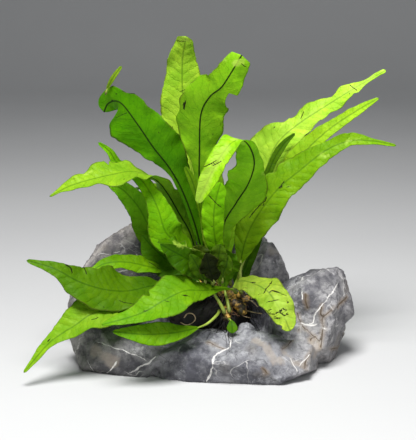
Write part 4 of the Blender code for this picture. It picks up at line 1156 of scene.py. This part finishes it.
class FERN_OT_stone(bpy.types.Operator):
    """The limestone: broken facets, veins, cracks and stains"""

    bl_idname = "fern.stone"
    bl_label = "Stone"

    # Up to this height, in metres, the stone keeps its flat foot.
    FOOT = 0.0004
    # Height in mm over which the relief grows from nothing at the foot.
    RELIEF_RISE = 5
    # Sizes in mm of the broad and the small chips, of the ridges and of the grain.
    BROAD_CHIP = 15
    SMALL_CHIP = 5.5
    RIDGE = 9
    GRAIN = 4.2

    def execute(self, context):
        settings = context.scene.fern_stone
        bm = self.even_stone(settings)
        layers = [(bm.verts.layers.float.new(name), bm.verts.layers.float.new(name + "_across"),
                   stroke_pieces(lines))
                  for name, lines in (("vein", WHITE_VEINS), ("crack", BROWN_CRACKS),
                                      ("tan", TAN_PATCHES))]
        rough, moves = [], []
        for corner in bm.verts:
            spot = corner.co / MM
            # The strokes waver with the noise.
            bent = spot + 1.3 * noise.noise_vector(spot / 6)
            for reach, across, pieces in layers:
                corner[reach], corner[across] = stroke_reach(bent, corner.normal, pieces)
            if corner.co.z > self.FOOT:
                rough.append(corner)
                moves.append(self.broken(spot, settings.relief / MM)
                             * min(1.0, spot.z / self.RELIEF_RISE))
        push_out(rough, moves)
        stone = make_object("limestone", closed(bm, "limestone"), [self.limestone(settings)])
        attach(stone, "root")
        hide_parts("stone")
        return {"FINISHED"}

    def even_stone(self, settings):
        """The stone and its knuckle of rock as one even, softened mesh."""
        bm = bmesh.new()
        bm.from_mesh(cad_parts["stone"].data)
        bmesh.ops.remove_doubles(bm, verts=bm.verts, dist=0.00001)
        middle, radii = ROCK_KNUCKLE
        for corner in bmesh.ops.create_icosphere(bm, subdivisions=1, radius=MM)["verts"]:
            corner.co = middle * MM + corner.co * radii
        rough = make_object("stone_rough", closed(bm, "stone_rough"), [])
        even = rough.modifiers.new("even", "REMESH")
        even.mode = "VOXEL"
        even.voxel_size = settings.grain
        bm = opened(evaluated_mesh(rough))
        bmesh.ops.smooth_vert(bm, verts=[corner for corner in bm.verts if corner.co.z > self.FOOT],
                              factor=0.5, use_axis_x=True, use_axis_y=True, use_axis_z=True)
        bm.normal_update()
        return bm

    def broken(self, spot, relief):
        """How far the surface stands out at a spot: flat chips, ridges and fine grain, mm."""
        bent = spot + 1.6 * noise.noise_vector(spot / 11)
        chip = self.facet(bent / self.BROAD_CHIP)
        chip += 0.32 * self.facet(bent / self.SMALL_CHIP + Vector((4, 9, 2)))
        ridge = 1 - abs(2 * noise.noise(spot / self.RIDGE + Vector((3, 8, 1))))
        grain = noise.fractal(spot / self.GRAIN, 0.9, 2.1, 4)
        return relief * (chip + 0.16 * ridge + 0.20 * grain)

    @staticmethod
    def facet(spot):
        """Height of flat chips that meet in sharp ridges, from their four nearest seats."""
        heights = []
        for seat in noise.voronoi(spot)[1]:
            slope = noise.noise_vector(seat * 5.3 + Vector((9.1, 2.7, 4.3)))
            heights.append(1.5 * slope.dot(spot - seat) + 0.5 * noise.noise(seat * 7.7))
        return min(heights) + 0.35

    @classmethod
    def limestone(cls, settings):
        """Grey limestone: mottled and chipped, then stained, split, cracked and veined."""
        paint = Paint("limestone")
        patchy = paint.cloud(62.0, 5.0, 0.7, place=paint.shifted(50.0, 0.02))
        fine = paint.cloud(210.0, 5.0, 0.75)
        ragged = paint.swing(paint.cloud(260.0, 3.0), 0.45, 1.8)
        base = cls.mottled_grey(paint, settings, patchy, fine)
        hair = cls.hairlines(paint, (30.0, 40.0, 0.03, 0.016), (45.0, 0.50))
        split = cls.hairlines(paint, (52.0, 70.0, 0.02, 0.03), (60.0, 0.48))
        base = paint.blend(split, base, scaled(settings.dark_grey, 0.5))
        from_tan = paint.plus(paint.attribute("tan"), paint.swing(patchy, 0.5, 14.0))
        base = paint.blend(paint.fall(from_tan, -1.5, 1.8, 0.5), base, (0.40, 0.34, 0.28))
        from_crack = paint.plus(paint.attribute("crack"), ragged)
        base = paint.blend(paint.fall(from_crack, 0.0, 3.0, 0.3), base, scaled(settings.ochre, 1.4))
        crack = paint.times(paint.stroke("crack", ragged), 0.8)
        base = paint.blend(crack, base, scaled(settings.ochre, 0.4))
        veins = paint.maths("MAXIMUM", paint.stroke("vein", ragged), hair)
        worn = paint.rise(fine, 0.34, 0.56, 0.45, 1.0)
        base = paint.blend(paint.times(veins, worn), base, settings.calcite)
        grain = paint.cells(420.0)
        pit = paint.rise(paint.cells(190.0, paint.shifted(200.0, 0.004)), 0.0, 0.35, -1.0, 0.0)
        height = paint.plus(fine, paint.plus(paint.times(grain, 0.35), paint.times(pit, 0.35)))
        height = paint.minus(height, paint.times(crack, 0.8))
        return paint.finish(paint.surface(base, paint.rise(fine, 0.3, 0.7, 0.55, 0.85),
                                          paint.bump(height, 0.55, 0.0012), 0.35))

    @staticmethod
    def mottled_grey(paint, settings, patchy, fine):
        """The rock's greys: clouds, blocks, chips, chalk and dark grain; the left darker and browner,
        the boulder paler, and the rock behind much paler as painted light on its shaded side.
        """
        dark, light = settings.dark_grey, settings.light_grey
        broad = paint.cloud(22.0, 5.0, 0.62, 0.5)
        value = paint.plus(paint.times(broad, 0.42),
                           paint.plus(paint.times(patchy, 0.36), paint.times(fine, 0.22)))
        base = paint.blend(paint.rise(value, 0.42, 0.59), dark, light)
        base = paint.blend(paint.rise(paint.cloud(34.0, 2.0), 0.55, 0.75, 0.0, 0.4), base,
                           (0.21, 0.18, 0.14))
        blocks = paint.cell_chance(75.0, paint.shifted(60.0, 0.02), 0)
        base = paint.tint(paint.times(blocks, 0.55), base, (0.62, 0.62, 0.64))
        chips = paint.cell_chance(230.0, paint.shifted(150.0, 0.008), 1)
        base = paint.tint(paint.rise(chips, 0.55, 1.0, 0.0, 0.5), base, (1.5, 1.5, 1.5))
        chalk = paint.cloud(90.0, 5.0, 0.75, place=paint.shifted(90.0, 0.01))
        base = paint.blend(paint.rise(chalk, 0.55, 0.66, 0.0, 0.55), base, scaled(light, 1.5))
        base = paint.blend(paint.fall(fine, 0.34, 0.46, 0.5), base, scaled(dark, 0.6))
        side = paint.node("SeparateXYZ", {0: paint.place})
        left = paint.fall(side.outputs[0], -0.085, -0.02)
        boulder = paint.rise(side.outputs[0], 0.045, 0.07)
        # Painted light: the rock behind, which lies in shade, is painted nearly twice as pale.
        behind = paint.rise(side.outputs[1], 0.018, 0.035)
        for share, factors in ((left, (0.90, 0.87, 0.78)), (boulder, (1.16, 1.13, 1.08)),
                               (behind, (1.9, 1.82, 1.80))):
            base = paint.tint(share, base, factors)
        return base

    @staticmethod
    def hairlines(paint, net, patch):
        """Thin lines along the edges of cells, shown in patches.

        net: the cells' scale, the scale and reach that they are moved about with, and half the
        line's width as a share of a cell.
        patch: the patches' scale and where they start.
        """
        scale, drift, reach, width = net
        patch_scale, start = patch
        edges = paint.cells(scale, paint.shifted(drift, reach), "DISTANCE_TO_EDGE")
        shown = paint.rise(paint.cloud(patch_scale, 2.0), start, 0.60, 0.0, 0.6)
        return paint.times(paint.fall(edges, 0.0, width), shown)


class FERN_OT_rhizome(bpy.types.Operator):
    """The creeping stem and its branch: knobbly, scaly, golden between dark scales, the gold painted
    bright as highlights
    """

    bl_idname = "fern.rhizome"
    bl_label = "Rhizome"

    # Length of a mesh row and radius of the closed ends in mm, and length of the rounded ends as a
    # share of the radius.
    ROW = 0.55
    END = 0.02
    ROUNDED = 0.8

    def execute(self, context):
        settings = context.scene.fern_roots
        finish = self.bark(settings)
        for seed, (name, (route, radius)) in enumerate(RHIZOMES.items(), 1):
            self.build(name, route, radius, seed, finish)
        return {"FINISHED"}

    def build(self, name, route, radius, seed, finish):
        places, directions, length = even_route(route, self.ROW)
        frames, radii = [], []
        last = len(places) - 1
        for row, direction in enumerate(directions):
            sideways = direction.cross(Vector((0, 0, 1))).normalized()
            frames.append((sideways, sideways.cross(direction)))
            along = length * row / last
            end = min(along, length - along) / (self.ROUNDED * radius)
            knob = 1 + 0.10 * math.sin(along * 0.8 + seed) + 0.05 * math.sin(along * 1.9 + seed)
            cap = math.sqrt(max(0.0, 1 - (1 - min(1.0, end)) ** 2))
            radii.append(max(self.END, radius * knob * cap))
        bm = bmesh.new()
        grid, _, _ = add_tube(bm, places, frames, radii, 40)
        bmesh.ops.remove_doubles(bm, verts=grid, dist=0.00003)
        bmesh.ops.recalc_face_normals(bm, faces=bm.faces)
        bm.normal_update()
        shift = Vector((seed * 11.0, 0, 0))
        moves = []
        for corner in bm.verts:
            spot = corner.co / MM
            from_scale = noise.voronoi(spot / 2.1 + shift)[0][0]
            moves.append(0.42 * (0.5 - from_scale) + 0.5 * noise.noise(spot / 3.4 + shift)
                         + 0.16 * noise.noise(spot / 0.9 + shift))
        push_out(bm.verts, moves)
        stem = make_object("creeping_" + name, closed(bm, name), [finish])
        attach(stem, "root")
        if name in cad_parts:
            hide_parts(name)

    @staticmethod
    def bark(settings):
        """Golden flesh painted bright as highlights, green here and there, between dark scales."""
        paint = Paint("rhizome_bark")
        from_scale = paint.cells(420.0, paint.shifted(300.0, 0.003))
        patch = paint.cloud(110.0, 4.0, 0.65)
        # Painted highlight: the golden patches of flesh, brighter than the rhizome's own colour.
        base = paint.blend(paint.rise(patch, 0.44, 0.54), settings.bark, settings.flesh_and_highlight)
        base = paint.blend(paint.rise(paint.cloud(70.0, 2.0), 0.5, 0.65, 0.0, 0.6), base,
                           (0.10, 0.13, 0.02))
        base = paint.blend(paint.rise(from_scale, 0.35, 0.75, 0.0, 0.75), base,
                           scaled(settings.bark, 0.5))
        height = paint.minus(paint.cloud(900.0, 3.0), from_scale)
        return paint.finish(paint.surface(base, paint.rise(patch, 0.3, 0.7, 0.7, 0.32),
                                          paint.bump(height, 0.7, 0.0006), 0.5))


class FERN_OT_roots(bpy.types.Operator):
    """The matted roots: a felted core and hundreds of fibres that grip the stone"""

    bl_idname = "fern.roots"
    bl_label = "Roots"

    # Length of one step of a fibre, and what draws its heading down at each.
    STEP = 2.6
    PULL = Vector((0, 0, -0.24))
    # A fibre nearer than this to the stone clings to it, at this height; mm.
    CLING = 1.2
    CLEARANCE = 0.3
    # Share of the fibres that are young.
    YOUNG = 0.07
    # Fibres stop before they pass to the right of this place and in front of it, mm.
    OPEN_CORNER = (13, -10)

    def execute(self, context):
        settings = context.scene.fern_roots
        # The first finish, near black, is the roots' dark colour and also painted shade in the hollow.
        finishes = [self.fibre_material("root_old_and_shade", settings.root_dark),
                    self.fibre_material("root_young", settings.root_pale),
                    self.fibre_material("root_curled", settings.root_tan)]
        curve = bpy.data.curves.new("root_fibres", "CURVE")
        curve.dimensions = "3D"
        curve.bevel_depth = settings.fibre_radius
        curve.bevel_resolution = 0
        curve.use_fill_caps = True
        for finish in finishes:
            curve.materials.append(finish)
        self.add_fibres(curve, settings, BVHTree.FromObject(
            bpy.data.objects["limestone"], context.evaluated_depsgraph_get()))
        self.add_young_roots(curve, settings)
        mesh = evaluated_mesh(add_object("root_fibres", curve))
        bpy.data.curves.remove(curve)
        bm = opened(mesh)
        # The felt core takes the first, near-black finish: painted shade in the hollow as well as roots.
        core = self.felt_core()
        bm.from_mesh(core)
        bpy.data.meshes.remove(core)
        roots = make_object("matted_roots", closed(bm, "matted_roots"), finishes)
        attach(roots, "root")
        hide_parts("root_clump")
        return {"FINISHED"}

    def add_fibres(self, curve, settings, ground):
        """The fibres, thinner towards their ends; a few are young and pale."""
        chance = random.Random(41)
        for number in range(settings.fibres):
            points = self.fibre(chance, ground, number)
            spline = curve.splines.new("POLY")
            last = len(points) - 1
            spline.points.add(last)
            thick = chance.uniform(0.45, 1.25)
            for i, (item, place) in enumerate(zip(spline.points, points)):
                item.co = (*place * MM, 1.0)
                item.radius = thick * (1 - 0.75 * i / last)
            spline.material_index = 1 if chance.random() < self.YOUNG else 0

    @staticmethod
    def add_young_roots(curve, settings):
        for radius, points in YOUNG_ROOTS:
            spline = curve.splines.new("POLY")
            steps = 8 * (len(points) - 1)
            spline.points.add(steps)
            for i, item in enumerate(spline.points):
                item.co = (*curve_share(points, i / steps) * MM, 1.0)
                item.radius = radius * MM / settings.fibre_radius * (1 - 0.4 * i / steps)
            spline.material_index = 2

    @staticmethod
    def felt_core():
        """The dense middle of the clump, uneven as felted roots are."""
        bm = bmesh.new()
        bmesh.ops.create_icosphere(bm, subdivisions=5, radius=1.0)
        for corner in bm.verts:
            way = corner.co.copy()
            spot = ROOT_RADII * way
            swell = 0.95 + 0.06 * noise.noise(way * 2.6) + 0.05 * noise.noise(spot / 4)
            swell += 0.03 * noise.noise(spot / 1.3)
            corner.co = (ROOT_CENTRE + spot * swell) * MM
        return closed(bm, "felt_core")

    def fibre(self, chance, ground, number):
        """Points of one fibre: out of the rhizome, over the clump and down on the stone, mm."""
        # Every fourth fibre grows from the branch.
        route, radius = RHIZOMES["rhizome_branch" if number % 4 == 0 else "rhizome"]
        start = curve_share(route, chance.uniform(0.02, 0.98))
        turn = chance.uniform(0, 2 * math.pi)
        heading = Vector((math.cos(turn), math.sin(turn), chance.uniform(-0.9, 0.25))).normalized()
        # It starts inside the rhizome.
        place = start + heading * radius * 0.7
        points = [place]
        wander = Vector((number * 1.7, number * 0.9, 4.0))
        for i in range(chance.randint(7, 15)):
            if i > 2 and place.x > self.OPEN_CORNER[0] and place.y < self.OPEN_CORNER[1]:
                break
            sway = noise.noise_vector(place / 6 + wander)
            heading = (0.72 * heading + 0.55 * sway + self.PULL).normalized()
            place = self.outside_clump(place + heading * self.STEP, chance)
            hit, normal, _, away = ground.find_nearest(place * MM)
            if hit is not None:
                hit = hit / MM
                if (place - hit).dot(normal) < 0.25 or away / MM < self.CLING:
                    place = hit + normal * self.CLEARANCE
            points.append(place)
        return points

    @staticmethod
    def outside_clump(place, chance):
        """The place, moved out to about the clump's surface if it is inside."""
        from_middle = Vector([(p - c) / r for p, c, r in zip(place, ROOT_CENTRE, ROOT_RADII)])
        if from_middle.length >= 1.0:
            return place
        return ROOT_CENTRE + from_middle.normalized() * chance.uniform(0.98, 1.06) * ROOT_RADII

    @staticmethod
    def fibre_material(name, colour):
        """A fibre, patchy from half its colour to twice it."""
        paint = Paint(name)
        patch = paint.cloud(160.0, 4.0, 0.6)
        base = paint.blend(paint.rise(patch, 0.36, 0.66), scaled(colour, 0.5),
                           [min(1.0, part * 2.1 + 0.004) for part in colour])
        return paint.finish(paint.surface(base, paint.rise(patch, 0.3, 0.7, 0.5, 0.8),
                                          paint.bump(paint.cloud(1400.0, 2.0), 0.6, 0.0003), 0.4))


class FERN_OT_fronds(bpy.types.Operator):
    """All leaves: ruffled, veined blades on stalks that run on as midribs"""

    bl_idname = "fern.fronds"
    bl_label = "Leaves"

    def execute(self, context):
        settings = context.scene.fern_leaves
        finishes = {}
        for name, green in (("bright", settings.bright_green), ("mid", settings.mid_green),
                            ("dark", settings.dark_green)):
            below = [part * share for part, share in zip(green, UNDERSIDE)]
            finishes[name] = [leaf_material("leaf_upper_" + name, green, False),
                              leaf_material("leaf_under_" + name, below, True),
                              stalk_material("leaf_stalk_" + name, settings.stalk_green)]
        for seed, frond in enumerate(FRONDS + LEAFLETS, 1):
            build_frond(frond, LOOKS[frond.name], finishes[frond.green], settings, seed)
        return {"FINISHED"}


class FERN_PT_panel(bpy.types.Panel):
    """The pieces of the fern and the stage"""

    bl_idname = "FERN_PT_panel"
    bl_label = "Java Fern"
    bl_space_type = "VIEW_3D"
    bl_region_type = "UI"
    bl_category = "Java Fern"

    def draw(self, context):
        layout = self.layout
        for group in (context.scene.fern_leaves, context.scene.fern_stone,
                      context.scene.fern_roots, context.scene.fern_stage):
            box = layout.box()
            for name in group.bl_rna.properties.keys():
                if name not in ("rna_type", "name"):
                    box.prop(group, name)
        for operator in OPERATORS:
            layout.operator(operator.bl_idname)


SETTINGS = {"fern_leaves": FernSettings, "fern_stone": StoneSettings, "fern_roots": RootSettings,
            "fern_stage": StageSettings}
OPERATORS = (FERN_OT_stage, FERN_OT_stone, FERN_OT_rhizome, FERN_OT_roots, FERN_OT_fronds)


def register():
    for item in (*SETTINGS.values(), *OPERATORS, FERN_PT_panel):
        bpy.utils.register_class(item)
    for name, group in SETTINGS.items():
        setattr(bpy.types.Scene, name, bpy.props.PointerProperty(type=group))


def unregister():
    for name in SETTINGS:
        delattr(bpy.types.Scene, name)
    for item in (FERN_PT_panel, *reversed(OPERATORS), *SETTINGS.values()):
        bpy.utils.unregister_class(item)


def main():
    noise.seed_set(NOISE_SEED)
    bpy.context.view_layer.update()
    register()
    bpy.ops.fern.stage()
    bpy.ops.fern.stone()
    bpy.ops.fern.rhizome()
    bpy.ops.fern.roots()
    bpy.ops.fern.fronds()
    bpy.context.view_layer.update()


if __name__ == "__main__":
    main()
